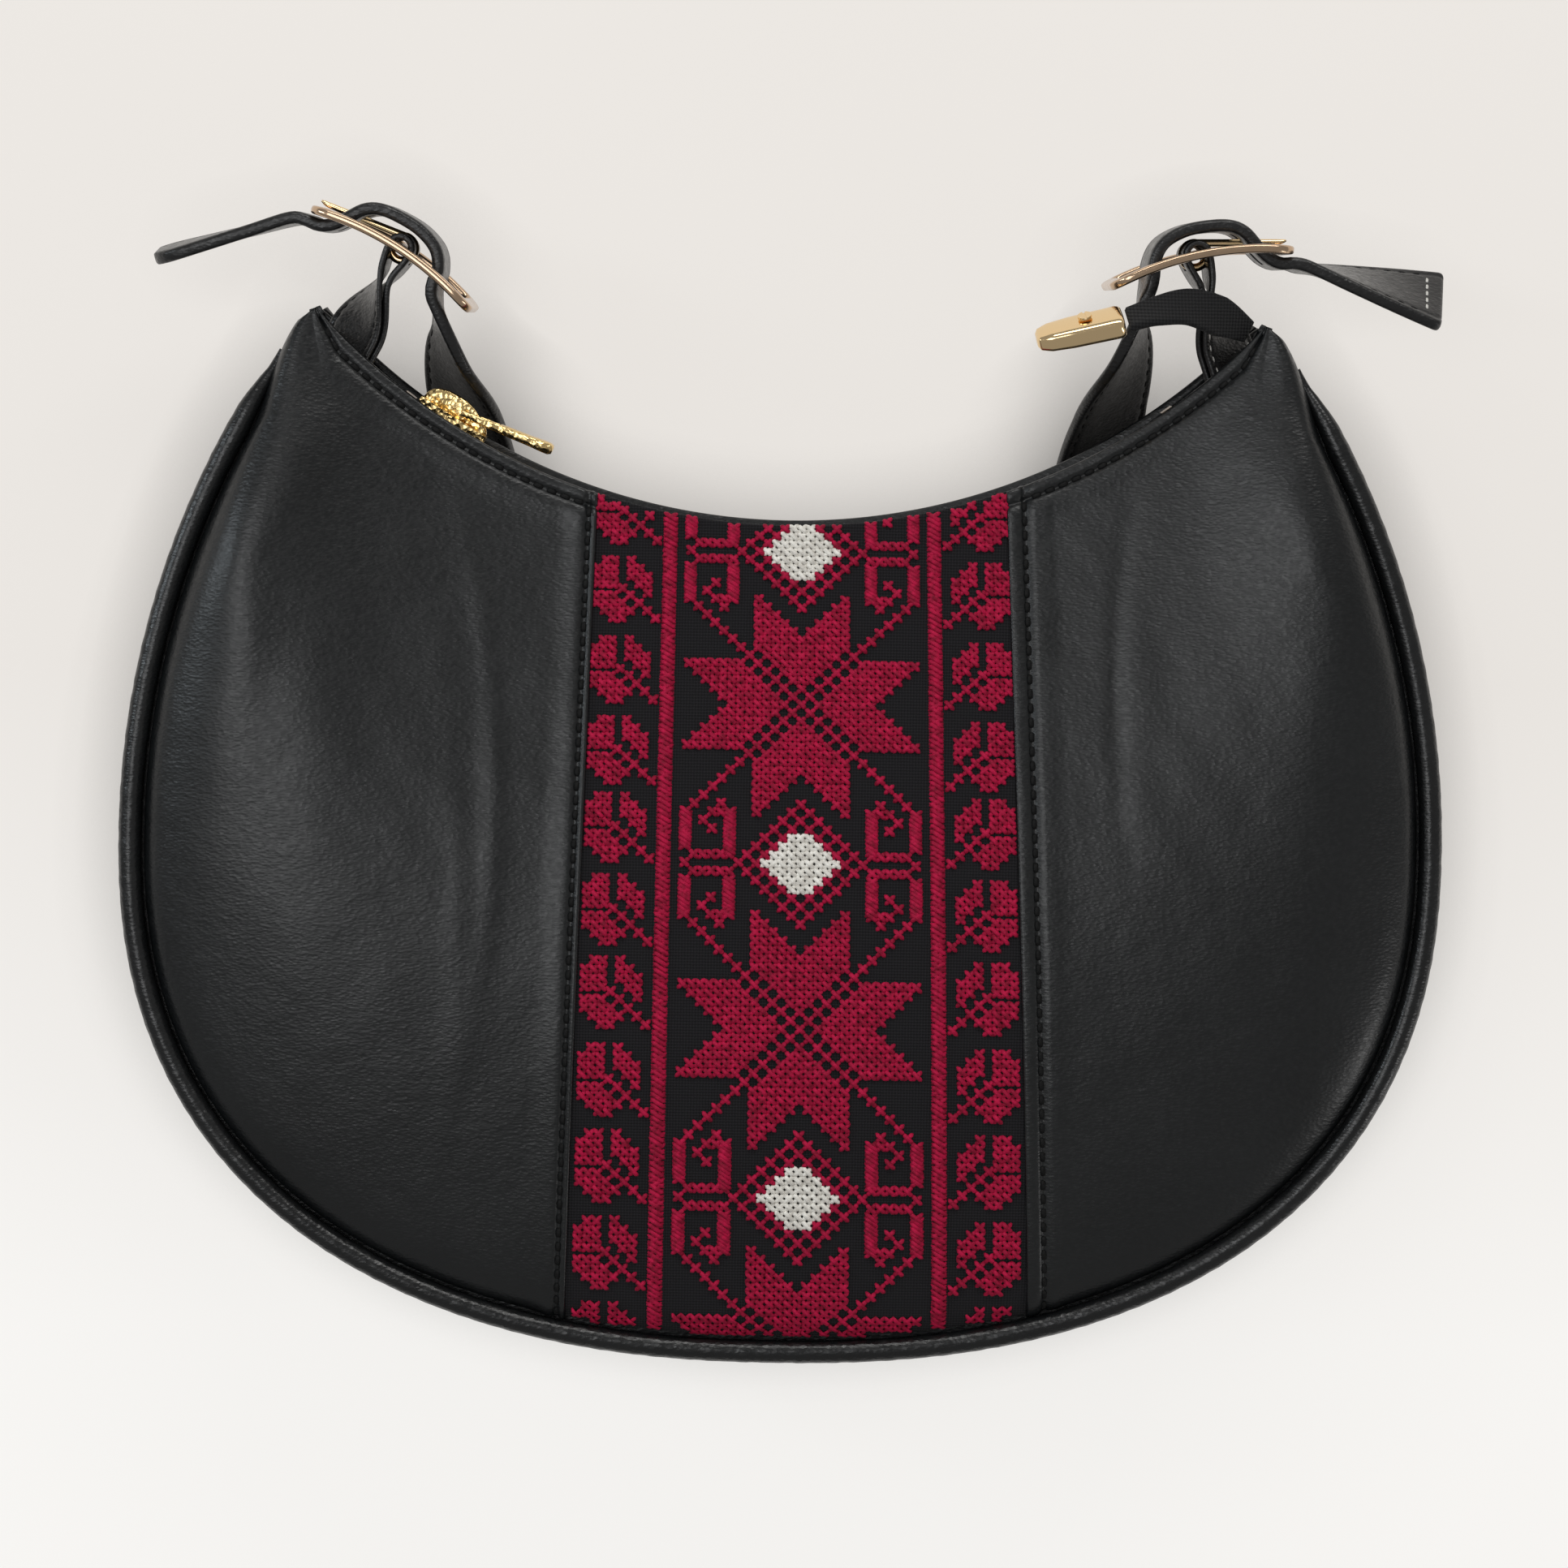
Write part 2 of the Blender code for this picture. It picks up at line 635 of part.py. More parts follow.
def build_slider(materials):
    """The slider turns about the centre of the top arc, so its origin is there."""
    top = TOOTH_ABOVE + SLIDER_RUN_GAP
    bottom = -TOOTH_BELOW - SLIDER_RUN_GAP
    lip_top = TAPE_THICKNESS
    lip_bottom = -TAPE_THICKNESS - SLIDER_RUN_GAP - SLIDER_RUN_GAP
    w = SLIDER_HALF_WIDTH
    lip = w - SLIDER_LIP
    web = SLIDER_WEB / 2
    half_outline = [
        (web, top),
        (lip, top),
        (lip, lip_top),
        (w, lip_top),
        (w, top + SLIDER_PLATE),
        (-w, top + SLIDER_PLATE),
        (-w, lip_top),
        (-lip, lip_top),
        (-lip, top),
        (-web, top),
        (-web, bottom),
        (-lip, bottom),
        (-lip, lip_bottom),
        (-w, lip_bottom),
        (-w, bottom - SLIDER_PLATE),
        (w, bottom - SLIDER_PLATE),
        (w, lip_bottom),
        (lip, lip_bottom),
        (lip, bottom),
        (web, bottom),
    ]
    half = SLIDER_LENGTH / 2
    gold = materials["gold"]
    slider = prism("zip_slider", half_outline, half, -half, slider_place, gold, SLIDER_TAPER_SHARE)
    base = top + SLIDER_PLATE
    rows = []
    for i in range(BRIDGE_STEPS + 1):
        turn = math.pi * i / BRIDGE_STEPS
        along = -half * BRIDGE_LENGTH_SHARE * math.cos(turn)
        up = base - BRIDGE_THICKNESS / 2 + BRIDGE_HEIGHT * math.sin(turn) ** BRIDGE_FULLNESS
        rows.append([slider_place(along, -BRIDGE_WIDTH / 2, up), slider_place(along, BRIDGE_WIDTH / 2, up)])
    bridge = sheet("slider_bridge", rows, gold, BRIDGE_THICKNESS, 0)
    place = Matrix.Translation((0, TOP_ARC_CENTRE_Y, MID_Z)) @ Matrix.Rotation(SLIDER_ANGLE, 4, "Z")
    slider.matrix_world = place
    bridge.matrix_world = place
    merge_into(slider, bridge)
    pivot_up = base + math.hypot(PULL_THICKNESS, PULL_THICKNESS) / 2 + CLEARANCE
    pull = build_pull(materials, half)
    pull.parent = slider
    pull.location = slider_place(half * PULL_PIVOT_SHARE, 0, pivot_up)
    pull.rotation_euler = (0, 0, PULL_REST_ANGLE)


def build_pull(materials, slider_half):
    """The pull hangs in the bridge by a cross bar, with an arm on each side of the bridge."""
    arm_inner = BRIDGE_WIDTH / 2 + CLEARANCE
    arm_outer = arm_inner + PULL_ARM
    bar = PULL_THICKNESS / 2
    outline = [(-bar, arm_outer), (bar, arm_outer), (slider_half, arm_outer)]
    outline.append((slider_half + PULL_ARM, PULL_HALF_WIDTH))
    outline += [(PULL_LENGTH * along, PULL_HALF_WIDTH * width) for along, width in PULL_OUTLINE_SHARES]
    rows = [[(along, 0, z) for z in (-width, -arm_inner, arm_inner, width)] for along, width in outline]
    end_gap = PULL_HALF_WIDTH * PULL_GAP_SHARE
    rows[-1][1] = (PULL_LENGTH, 0, -end_gap)
    rows[-1][2] = (PULL_LENGTH, 0, end_gap)
    pull = sheet("zip_puller", rows, materials["gold"], PULL_THICKNESS, 0, holes={(1, 1)})
    radius = PULL_THICKNESS
    bm = bmesh.new()
    bmesh.ops.create_cone(
        bm,
        cap_ends=True,
        segments=12,
        radius1=radius,
        radius2=radius,
        depth=2 * PULL_HALF_WIDTH * PULL_KNOB_WIDTH_SHARE,
    )
    bmesh.ops.translate(bm, verts=bm.verts, vec=(PULL_LENGTH - radius, 0, 0))
    knob = add_object("pull_knob", mesh_from_bmesh("pull_knob", bm), materials["gold"])
    knob.parent = pull
    merge_into(pull, knob)
    return pull


def tail_points():
    """Centre line of the zip tail from its fold at the right tip to the end cap."""
    px = TIP_X + TAIL_PIVOT_FROM_TIP[0]
    py = TIP_Y + TAIL_PIVOT_FROM_TIP[1]
    pz = MID_Z + TAPE_OUTER_Z - TAIL_THICKNESS / 2 - CLEARANCE
    points = [
        (px - TAIL_RUN * along, py + TAIL_ARCH * arch, pz + TAIL_RISE * rise)
        for along, arch, rise in TAIL_ROUTE_SHARES
    ]
    return curve_through(points, PATH_STEPS)


def unit(v):
    return v / np.linalg.norm(v)


def ribbon_grid(points, tilts, width, columns, shift=0.0):
    """Rows across a ribbon. Tilt 90 degrees stands it on edge, along Z."""
    points = np.asarray(points, float)
    tangents = np.gradient(points, axis=0)
    rows = []
    for point, tangent, tilt in zip(points, tangents, tilts):
        tangent = unit(tangent)
        flat = unit(np.array((-tangent[1], tangent[0], 0.0)))
        across = math.cos(tilt) * flat + math.sin(tilt) * np.array((0.0, 0.0, 1.0))
        across = unit(across - tangent * np.dot(across, tangent))
        normal = np.cross(tangent, across)
        centre = point + shift * normal
        rows.append([tuple(centre + across * width * c) for c in columns])
    return rows


def build_tail(materials):
    points = tail_points()
    pivot = tuple(points[0])
    last = len(points) - 1
    tilts = [CAP_TILT * smooth_step(i / last) for i in range(len(points))]
    grid = ribbon_grid(points, tilts, TAIL_WIDTH, (-0.5, 0.0, 0.5))
    for i, row in enumerate(grid):
        narrow = blend_values(TAIL_FOLD_WIDTH_SHARE, 1.0, min(i / PATH_STEPS, 1.0))
        middle = np.array(row[1])
        grid[i] = [tuple(middle + (np.array(p) - middle) * narrow) for p in row]
    sheet("zip_tail_tape", grid, materials["tape"], TAIL_THICKNESS, 0, location=pivot)
    way = np.array((-math.cos(CAP_SLOPE), -math.sin(CAP_SLOPE), 0.0))
    flat = np.array((-way[1], way[0], 0.0))
    across = math.cos(CAP_TILT) * flat + math.sin(CAP_TILT) * np.array((0.0, 0.0, 1.0))
    out = np.cross(way, across)
    # The cap's mouth stands square to its own slope, so it starts past the tape's leaning end
    start = np.array(points[-1]) + way * TAIL_THICKNESS / 2
    build_cap(materials, pivot, start, way, across, out)


def rounded_rectangle(width, height, radius, steps=3):
    points = []
    for cx, cy, first in ((1, 1, 0), (-1, 1, 1), (-1, -1, 2), (1, -1, 3)):
        for i in range(steps + 1):
            angle = math.pi / 2 * (first + i / steps)
            x = cx * (width / 2 - radius) + radius * math.cos(angle)
            y = cy * (height / 2 - radius) + radius * math.sin(angle)
            points.append((x, y))
    return points


def build_cap(materials, pivot, start, way, across, out):
    """The metal cap on the end of the tail, with a screw on the face that looks outwards."""
    outline = rounded_rectangle(CAP_WIDTH, CAP_DEPTH, CAP_DEPTH * CAP_CORNER_SHARE)
    bm = bmesh.new()
    rings = []
    for along, size in CAP_OUTLINE_SHARES:
        centre = start + way * CAP_LENGTH * along - np.array(pivot)
        rings.append([bm.verts.new(Vector(centre + (across * a + out * b) * size)) for a, b in outline])
    bm.faces.new(rings[0])
    bm.faces.new(rings[-1])
    for near, far in zip(rings, rings[1:]):
        for i in range(len(outline)):
            j = (i + 1) % len(outline)
            bm.faces.new((near[i], near[j], far[j], far[i]))
    add_object("zip_end_cap", mesh_from_bmesh("zip_end_cap", bm), materials["gold"], pivot)
    lift = CAP_DEPTH / 2 + CLEARANCE + SCREW_HEIGHT / 2
    centre = start + way * CAP_LENGTH * SCREW_PLACE_SHARE + out * lift
    turn = Matrix((Vector(way), Vector(across), Vector(out))).transposed().to_4x4()
    build_screw(materials["gold"], centre, turn)


def build_screw(material, centre, turn):
    """A slotted screw head."""
    bm = bmesh.new()
    radius = SCREW_RADIUS
    bmesh.ops.create_cone(bm, cap_ends=True, segments=14, radius1=radius, radius2=radius, depth=SCREW_HEIGHT)
    bmesh.ops.transform(bm, matrix=turn, verts=bm.verts)
    screw = add_object("zip_end_cap_screw", mesh_from_bmesh("zip_end_cap_screw", bm), material, centre)
    bm = bmesh.new()
    bmesh.ops.create_cube(bm, size=1.0)
    bmesh.ops.scale(bm, verts=bm.verts, vec=(SCREW_SLOT, 2 * SCREW_RADIUS + SCREW_SLOT, SCREW_HEIGHT))
    bmesh.ops.translate(bm, verts=bm.verts, vec=(0, 0, SCREW_HEIGHT / 2))
    bmesh.ops.transform(bm, matrix=turn, verts=bm.verts)
    slot = add_object("screw_slot", mesh_from_bmesh("screw_slot", bm), material, centre)
    cut_from(screw, slot)


class Buckle:
    """The place of one buckle: u runs outwards along its frame and v out of the bag."""

    def __init__(self, side, from_tip, lean):
        self.side = side
        self.bar = np.array((side * (TIP_X + from_tip[0]), TIP_Y + from_tip[1]))
        self.u = np.array((side * math.cos(lean), math.sin(lean)))
        self.v = np.array((-side * math.sin(lean), math.cos(lean)))

    def place(self, u, v, z=0.0):
        """u and v are counted from the centre bar."""
        x, y = self.bar + self.u * u + self.v * v
        return float(x), float(y), MID_Z + z

    @property
    def origin(self):
        return self.place(0.0, 0.0)


def bow_radius():
    return (BUCKLE_HALF_LENGTH**2 + BUCKLE_BOW**2) / (2 * BUCKLE_BOW)


def bow_drop(u):
    """How far the bowed frame lies below its centre bar at u."""
    radius = bow_radius()
    return radius - math.sqrt(radius**2 - u**2)


def build_buckle_frame(buckle, name, material):
    window_in = BUCKLE_BAR / 2
    window_out = BUCKLE_HALF_LENGTH - BUCKLE_END_BAR
    middle = (window_in + window_out) / 2
    half = [window_in, middle, window_out, (window_out + BUCKLE_HALF_LENGTH) / 2, BUCKLE_HALF_LENGTH]
    stations = [-u for u in reversed(half)] + half
    inner = BUCKLE_HALF_WIDTH - BUCKLE_RAIL
    rows = []
    for u in stations:
        past = max(abs(u) - middle, 0.0) / (BUCKLE_HALF_LENGTH - middle)
        outer = BUCKLE_HALF_WIDTH * blend_values(1.0, BUCKLE_CORNER_SHARE, past**3)
        rows.append([buckle.place(u, -bow_drop(u), z) for z in (-outer, -inner, inner, outer)])
    holes = {(row, 1) for row in range(len(stations) - 1) if in_window(stations, row, window_in, window_out)}
    if buckle.side < 0:
        rows = rows[::-1]
    sheet(name, rows, material, BUCKLE_THICKNESS, 0, holes=holes, location=buckle.origin)


def in_window(stations, row, window_in, window_out):
    middle = abs((stations[row] + stations[row + 1]) / 2)
    return window_in < middle < window_out


def build_prong(buckle, name, material):
    """A curl round the centre bar and a shaft that ends on the outer bar."""
    reach = BUCKLE_HALF_LENGTH - BUCKLE_END_BAR / 2
    rest = -bow_drop(reach) + BUCKLE_THICKNESS / 2 + PRONG_RADIUS * PRONG_TIP_SHARE + CLEARANCE
    slope = math.atan2(rest - RING_RADIUS, reach)
    points = []
    radii = []
    last = math.pi / 2 + slope
    for i in range(CURL_STEPS + 1):
        angle = blend_values(PRONG_CURL_START, last, i / CURL_STEPS)
        points.append(buckle.place(RING_RADIUS * math.cos(angle), RING_RADIUS * math.sin(angle)))
        radii.append(PRONG_RADIUS)
    start_u = RING_RADIUS * math.cos(last)
    start_v = RING_RADIUS * math.sin(last)
    for share in PRONG_SHAFT_SHARES:
        u = blend_values(start_u, reach + BUCKLE_END_BAR / 2, share)
        v = blend_values(start_v, rest, min(u / reach, 1.0)) if share < 1.0 else rest
        points.append(buckle.place(u, v))
        radii.append(PRONG_RADIUS * blend_values(1.0, PRONG_TIP_SHARE, share))
    tube(name, points, radii, material, location=buckle.origin)


def tab_root(buckle):
    """The tab goes down into the corner of the opening, beside the end of the zip."""
    x = buckle.side * (TIP_X + TAB_ROOT_FROM_TIP[0])
    return np.array((x, TIP_Y + TAB_ROOT_FROM_TIP[1], MID_Z))


def build_tab(buckle, name, material):
    """A strip folded round the centre bar, both ends sewn in at the tip of the bag."""
    root = tab_root(buckle)
    bar = np.array(buckle.origin)
    way = unit(root - bar)
    layer = (TAB_LEATHER + TAB_LAYER_GAP) / 2
    side = np.array((way[1], -way[0], 0.0)) * buckle.side
    reach = float(np.linalg.norm(root - bar)) + TAB_INSIDE
    turn_from, turn_to = TAB_TURN_SHARES
    spans = []
    for share in TAB_STATION_SHARES:
        apart = blend_values(TAB_LOOP_RADIUS, layer, smooth_step(share / TAB_CLOSED_SHARE))
        turned = smooth_step((share - turn_from) / (turn_to - turn_from))
        spans.append((share * reach, apart, blend_values(math.pi / 2, TAB_ROOT_TILT, turned)))
    rows = []
    columns = (-0.5, -TAB_SLOT / TAB_WIDTH / 2, TAB_SLOT / TAB_WIDTH / 2, 0.5)

    def station(at, apart, turn, sign):
        across = math.cos(turn) * side + math.sin(turn) * np.array((0.0, 0.0, 1.0))
        normal = np.cross(way, across)
        centre = bar + way * at + normal * apart * sign
        return [tuple(centre + across * TAB_WIDTH * c) for c in columns]

    for at, apart, turn in reversed(spans):
        rows.append(station(at, apart, turn, 1))
    first_arc = len(rows)
    normal = np.cross(way, np.array((0.0, 0.0, 1.0)))
    for i in range(TAB_FOLD_STEPS + 1):
        angle = math.pi * i / TAB_FOLD_STEPS
        centre = bar + normal * TAB_LOOP_RADIUS * math.cos(angle) - way * TAB_LOOP_RADIUS * math.sin(angle)
        rows.append([tuple(centre + np.array((0.0, 0.0, 1.0)) * TAB_WIDTH * c) for c in columns])
    last_arc = len(rows) - 1
    for at, apart, turn in spans:
        rows.append(station(at, apart, turn, -1))
    holes = {(row, 1) for row in range(first_arc, last_arc)} | {(first_arc - 1, 1), (last_arc, 1)}
    sheet(name, rows, material, TAB_LEATHER, 0, holes=holes, location=buckle.origin)


def strap_hump(buckle):
    """The strap's way through the buckle, from under the outer bar to the inner window."""
    length = BUCKLE_HALF_LENGTH
    under = -BUCKLE_BOW - STRAP_UNDER_BAR
    points = [(length * a, under * b) for a, b in HUMP_UNDER_SHARES]
    points += [(length * a, STRAP_RISE * b) for a, b in HUMP_OVER_SHARES]
    return [buckle.place(u, v) for u, v in points]


def leg_points(buckle):
    """From the inner window down behind the bag to the hinge line of the loop."""
    x_hinge = buckle.side * LOOP_HALF_SPREAD
    start = np.array(buckle.place(BUCKLE_HALF_LENGTH * LEG_START_SHARES[0], STRAP_RISE * LEG_START_SHARES[1]))
    end = np.array((x_hinge, LOOP_HINGE_Y + STRAP_THICKNESS / 2 + CLEARANCE, STRAP_THICKNESS / 2))
    points = []
    for across, down, deep in LEG_WAY_SHARES:
        x = blend_values(start[0], end[0], across)
        y = blend_values(start[1], end[1], down)
        z = blend_values(start[2], end[2], deep)
        points.append((x, y, z))
    points.append((end[0], end[1] + STRAP_THICKNESS, end[2]))
    points.append(tuple(end))
    return points


def strap_end_route(buckle, tail_from_tip, tail_tilt):
    """Centre points and tilts of one end of the strap, from the tail's tip to the loop."""
    tip = np.array((buckle.side * (TIP_X + tail_from_tip[0]), TIP_Y + tail_from_tip[1], MID_Z))
    hump = strap_hump(buckle)
    bend = np.array(hump[0])
    tail = [tuple(blend_values(tip, bend, share)) for share in TAIL_REST_SHARES]
    tail_tilts = [blend_values(tail_tilt, math.pi / 2, share) for share in TAIL_REST_SHARES]
    hump_tilts = [math.pi / 2] * len(hump)
    legs = leg_points(buckle)
    leg_tilts = [math.radians(a) for a in LEG_TILT_DEGREES]
    return tail + hump + legs, tail_tilts + hump_tilts + leg_tilts


def build_strap_end(buckle, name, tail_from_tip, tail_tilt, material):
    points, tilts = strap_end_route(buckle, tail_from_tip, tail_tilt)
    rows = [(*p, t) for p, t in zip(points, tilts)]
    smooth = curve_through(rows, PATH_STEPS)
    smooth[:, 2] = np.maximum(smooth[:, 2], STRAP_THICKNESS / 2)
    # The prong's hole starts where the strap comes down to the shaft
    lengths = np.concatenate([[0.0], np.cumsum(np.linalg.norm(np.diff(smooth[:, :3], axis=0), axis=1))])
    middle = hole_middle(buckle, smooth, lengths)
    edges = [middle - HOLE_LENGTH / 2, middle + HOLE_LENGTH / 2]
    near = STRAP_THICKNESS * HOLE_END_SHARE
    keep = [s for s in lengths if all(abs(s - e) > near for e in edges)]
    at = sorted(keep + edges)
    resampled = np.stack([np.interp(at, lengths, smooth[:, k]) for k in range(4)], axis=1)
    first = at.index(edges[0])
    last = at.index(edges[1])
    half_hole = HOLE_WIDTH / STRAP_WIDTH / 2
    columns = (-0.5, -half_hole, half_hole, 0.5)
    tilt_values = resampled[:, 3]
    if buckle.side < 0:
        tilt_values = math.pi - tilt_values
    grid = ribbon_grid(resampled[:, :3], tilt_values, STRAP_WIDTH, columns)
    holes = {(row, 1) for row in range(first, last)}
    sheet(name, grid, material, STRAP_THICKNESS, 0, holes=holes)


def hole_middle(buckle, smooth, lengths):
    """Length along the strap at which it crosses the line of the prong's shaft."""
    local = smooth[:, :2] - buckle.bar
    u = local @ buckle.u
    v = local @ buckle.v
    reach = BUCKLE_HALF_LENGTH - BUCKLE_END_BAR / 2
    rest = -bow_drop(reach) + BUCKLE_THICKNESS / 2 + PRONG_RADIUS * PRONG_TIP_SHARE
    line = RING_RADIUS + (rest - RING_RADIUS) * u / reach
    for i in range(len(u) - 1):
        if 0 < u[i] < reach and (v[i] - line[i]) * (v[i + 1] - line[i + 1]) <= 0:
            share = (line[i] - v[i]) / ((v[i + 1] - line[i + 1]) - (v[i] - line[i]))
            return float(blend_values(lengths[i], lengths[i + 1], share))
    raise ValueError("the strap doesn't cross the prong")


def build_strap_loop(material):
    """The loop lies flat behind the bag and swings about the line through its two ends."""
    start_y = LOOP_HINGE_Y - STRAP_THICKNESS
    z = STRAP_THICKNESS / 2
    points = [(LOOP_HALF_SPREAD, LOOP_HINGE_Y, z)]
    for i in range(LOOP_STEPS + 1):
        angle = math.pi * i / LOOP_STEPS
        y = start_y - (start_y - LOOP_BOTTOM_Y) * math.sin(angle)
        points.append((LOOP_HALF_SPREAD * math.cos(angle), y, z))
    points.append((-LOOP_HALF_SPREAD, LOOP_HINGE_Y, z))
    grid = ribbon_grid(points, [0.0] * len(points), STRAP_WIDTH, (-0.5, 0.0, 0.5))
    origin = (0, LOOP_HINGE_Y, z)
    loop = sheet("strap_loop", grid, material, STRAP_THICKNESS, 0, location=origin)
    nose = STRAP_THICKNESS / 2 - LOOP_NOSE_INSET
    length = STRAP_WIDTH - 2 * LOOP_NOSE_INSET
    for word, side in (("left", -1), ("right", 1)):
        bm = bmesh.new()
        bmesh.ops.create_cone(bm, cap_ends=True, segments=12, radius1=nose, radius2=nose, depth=length)
        bmesh.ops.rotate(bm, verts=bm.verts, matrix=Matrix.Rotation(math.pi / 2, 3, "Y"))
        place = (side * LOOP_HALF_SPREAD, LOOP_HINGE_Y, z)
        merge_into(loop, add_object("loop_nose_" + word, mesh_from_bmesh("loop_nose", bm), material, place))


def build_strap(materials):
    right = Buckle(1, RIGHT_BAR_FROM_TIP, RIGHT_LEAN)
    left = Buckle(-1, LEFT_BAR_FROM_TIP, LEFT_LEAN)
    for buckle, word, tail, tilt in (
        (left, "left", LEFT_TAIL_FROM_TIP, LEFT_TAIL_TILT),
        (right, "right", RIGHT_TAIL_FROM_TIP, RIGHT_TAIL_TILT),
    ):
        build_buckle_frame(buckle, "buckle_frame_" + word, materials["gold"])
        build_prong(buckle, "buckle_prong_" + word, materials["gold"])
        build_tab(buckle, "tab_" + word, materials["strap"])
        build_strap_end(buckle, "strap_end_" + word, tail, tilt, materials["strap"])
    build_strap_loop(materials["strap"])


def main():
    clear_scene()
    materials = make_materials()
    build_panels(materials)
    build_inner_layers(materials)
    build_gusset(materials)
    build_piping(materials)
    build_zip(materials)
    build_slider(materials)
    build_tail(materials)
    build_strap(materials)


main()
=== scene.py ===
"""Looks of the half moon bag: grained leather, cross-stitch, zip, buckles and the buckled strap."""

import math

import bmesh
import bpy
import numpy as np
from mathutils import Matrix, Vector


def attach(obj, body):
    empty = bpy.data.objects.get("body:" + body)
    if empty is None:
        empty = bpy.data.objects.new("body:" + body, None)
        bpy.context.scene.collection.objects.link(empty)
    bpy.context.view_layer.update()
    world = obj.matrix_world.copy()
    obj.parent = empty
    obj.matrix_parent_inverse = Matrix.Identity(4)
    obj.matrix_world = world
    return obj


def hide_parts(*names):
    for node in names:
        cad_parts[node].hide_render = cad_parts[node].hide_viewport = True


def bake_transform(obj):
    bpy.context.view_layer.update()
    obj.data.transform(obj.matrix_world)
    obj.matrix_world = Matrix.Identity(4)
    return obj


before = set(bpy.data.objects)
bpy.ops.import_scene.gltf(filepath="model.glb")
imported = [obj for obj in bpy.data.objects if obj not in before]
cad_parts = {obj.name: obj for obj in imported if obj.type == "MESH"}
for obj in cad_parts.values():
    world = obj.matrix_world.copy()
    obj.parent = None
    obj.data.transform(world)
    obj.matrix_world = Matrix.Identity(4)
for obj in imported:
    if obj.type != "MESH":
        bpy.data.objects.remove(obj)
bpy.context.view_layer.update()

# Outline and depth of the body, as in the solids
HALF_WIDTH = 0.1396
WIDEST_Y = -0.0119
LOWER_DEPTH = 0.1103
LOWER_POWER = 2.3
TOP_ARC_RADIUS = 0.1349
TOP_ARC_DIP_Y = 0.055
TIP_X = 0.0995
TIP_DROP = 0.0023
TIP_OUT = 0.0040
MID_Z = 0.031
EDGE_HALF_DEPTH = 0.0105
GUSSET_HALF_DEPTH = 0.025
GUSSET_FULL_SHARE = 0.30
SLACK_RIB_SHARE = 0.75
FRONT_CROWN = (0.008, 1.3)
BACK_CROWN = (0.0100, 2.0)
SEAM_DROP = 0.0045
SEAM_ROLL = 0.0032
SEAM_BELOW_PIPING = 0.001
LEATHER = 0.0014
CLEARANCE = 0.0003
# Top and bottom of the embroidered panel's left and right seam
SEAM_X = {-1: (0.0404, 0.0453), 1: (0.0465, 0.0557)}
PIPING_RADIUS = 0.0023
PIPING_FULL_FROM_TIP = 0.028
PIPING_END_FROM_TIP = 0.0075
PIPING_TUCK = 0.016
GUSSET_INSET = 0.0012
GUSSET_BULGE = 0.0009

# Zip
ZIP_RECESS = 0.0016
ZIP_END_FROM_TIP = 0.0200
SLIDER_FROM_STOP = 0.0086
SLIDER_LENGTH = 0.0160
PULL_LENGTH = 0.0205
PULL_HALF_WIDTH = 0.0030
PULL_THICKNESS = 0.0016
PULL_ARM = 0.0012
PULL_PIVOT_SHARE = 0.15
PULL_REST_ANGLE = math.radians(11)
BRIDGE_HEIGHT = 0.0036
BRIDGE_WIDTH = 0.0024
SLIDER_PLATE = 0.0011
SLIDER_RUN_GAP = 0.0004
FACING = 0.0010
LINING_CLEARANCE = 0.0005
TAPE_THICKNESS = 0.0006
TOOTH_ROW_GAP = 0.0009
TOOTH_REACH = 0.0018
TOOTH_ABOVE = 0.0009
TOOTH_BELOW = 0.0015
TAIL_RUN = 0.0266
TAIL_ARCH = 0.0049
TAIL_RISE = 0.0104
TAIL_WIDTH = 0.0085
TAIL_THICKNESS = 0.0018
TAIL_PIVOT_FROM_TIP = (-0.0029, -0.0014)
TAIL_ROUTE_SHARES = (
    (0.0, 0.0, 0.0),
    (0.26, 0.63, 0.66),
    (0.53, 1.0, 1.0),
    (0.78, 0.80, 1.0),
    (1.0, 0.41, 0.95),
)
CAP_LENGTH = 0.0185
CAP_WIDTH = 0.0082
CAP_DEPTH = 0.0050
CAP_OUTLINE_SHARES = ((0.0, 0.93), (0.05, 1.0), (0.60, 0.96), (0.86, 0.86), (0.97, 0.66), (1.0, 0.40))
TAIL_FOLD_WIDTH_SHARE = 0.55
CAP_SLOPE = math.radians(13.7)
CAP_TILT = math.radians(62)

# Strap, tabs and buckles
STRAP_WIDTH = 0.019
STRAP_THICKNESS = 0.0026
TAB_WIDTH = 0.016
TAB_ROOT_FROM_TIP = (-0.0060, -0.0080)
TAB_ROOT_TILT = math.radians(45)
TAB_LEATHER = 0.0013
TAB_LAYER_GAP = 0.0005
TAB_SLOT = 0.0034
TAB_INSIDE = 0.0085
TAB_CLOSED_SHARE = 0.30
TAB_TURN_SHARES = (0.15, 0.65)
LOOP_HALF_SPREAD = 0.067
LOOP_HINGE_Y = 0.040
LOOP_BOTTOM_Y = -0.021
HOLE_LENGTH = 0.0085
HOLE_WIDTH = 0.0032
HUMP_UNDER_SHARES = ((1.15, 1.28), (1.00, 1.02), (0.85, 0.92), (0.73, 0.62), (0.63, 0.11))
HUMP_OVER_SHARES = ((0.53, 0.52), (0.40, 0.88), (0.20, 1.05), (-0.08, 1.07), (-0.33, 0.76), (-0.47, 0.10))
TAIL_REST_SHARES = (0.0, 0.35, 0.70)
LEG_START_SHARES = (-0.56, -0.90)
LEG_WAY_SHARES = (
    (0.0, 0.0, 0.0),
    (0.34, 0.19, 0.10),
    (0.66, 0.42, 0.58),
    (0.86, 0.62, 0.88),
    (0.97, 0.82, 0.975),
)
LEG_TILT_DEGREES = (90, 106, 136, 162, 178, 180, 180)
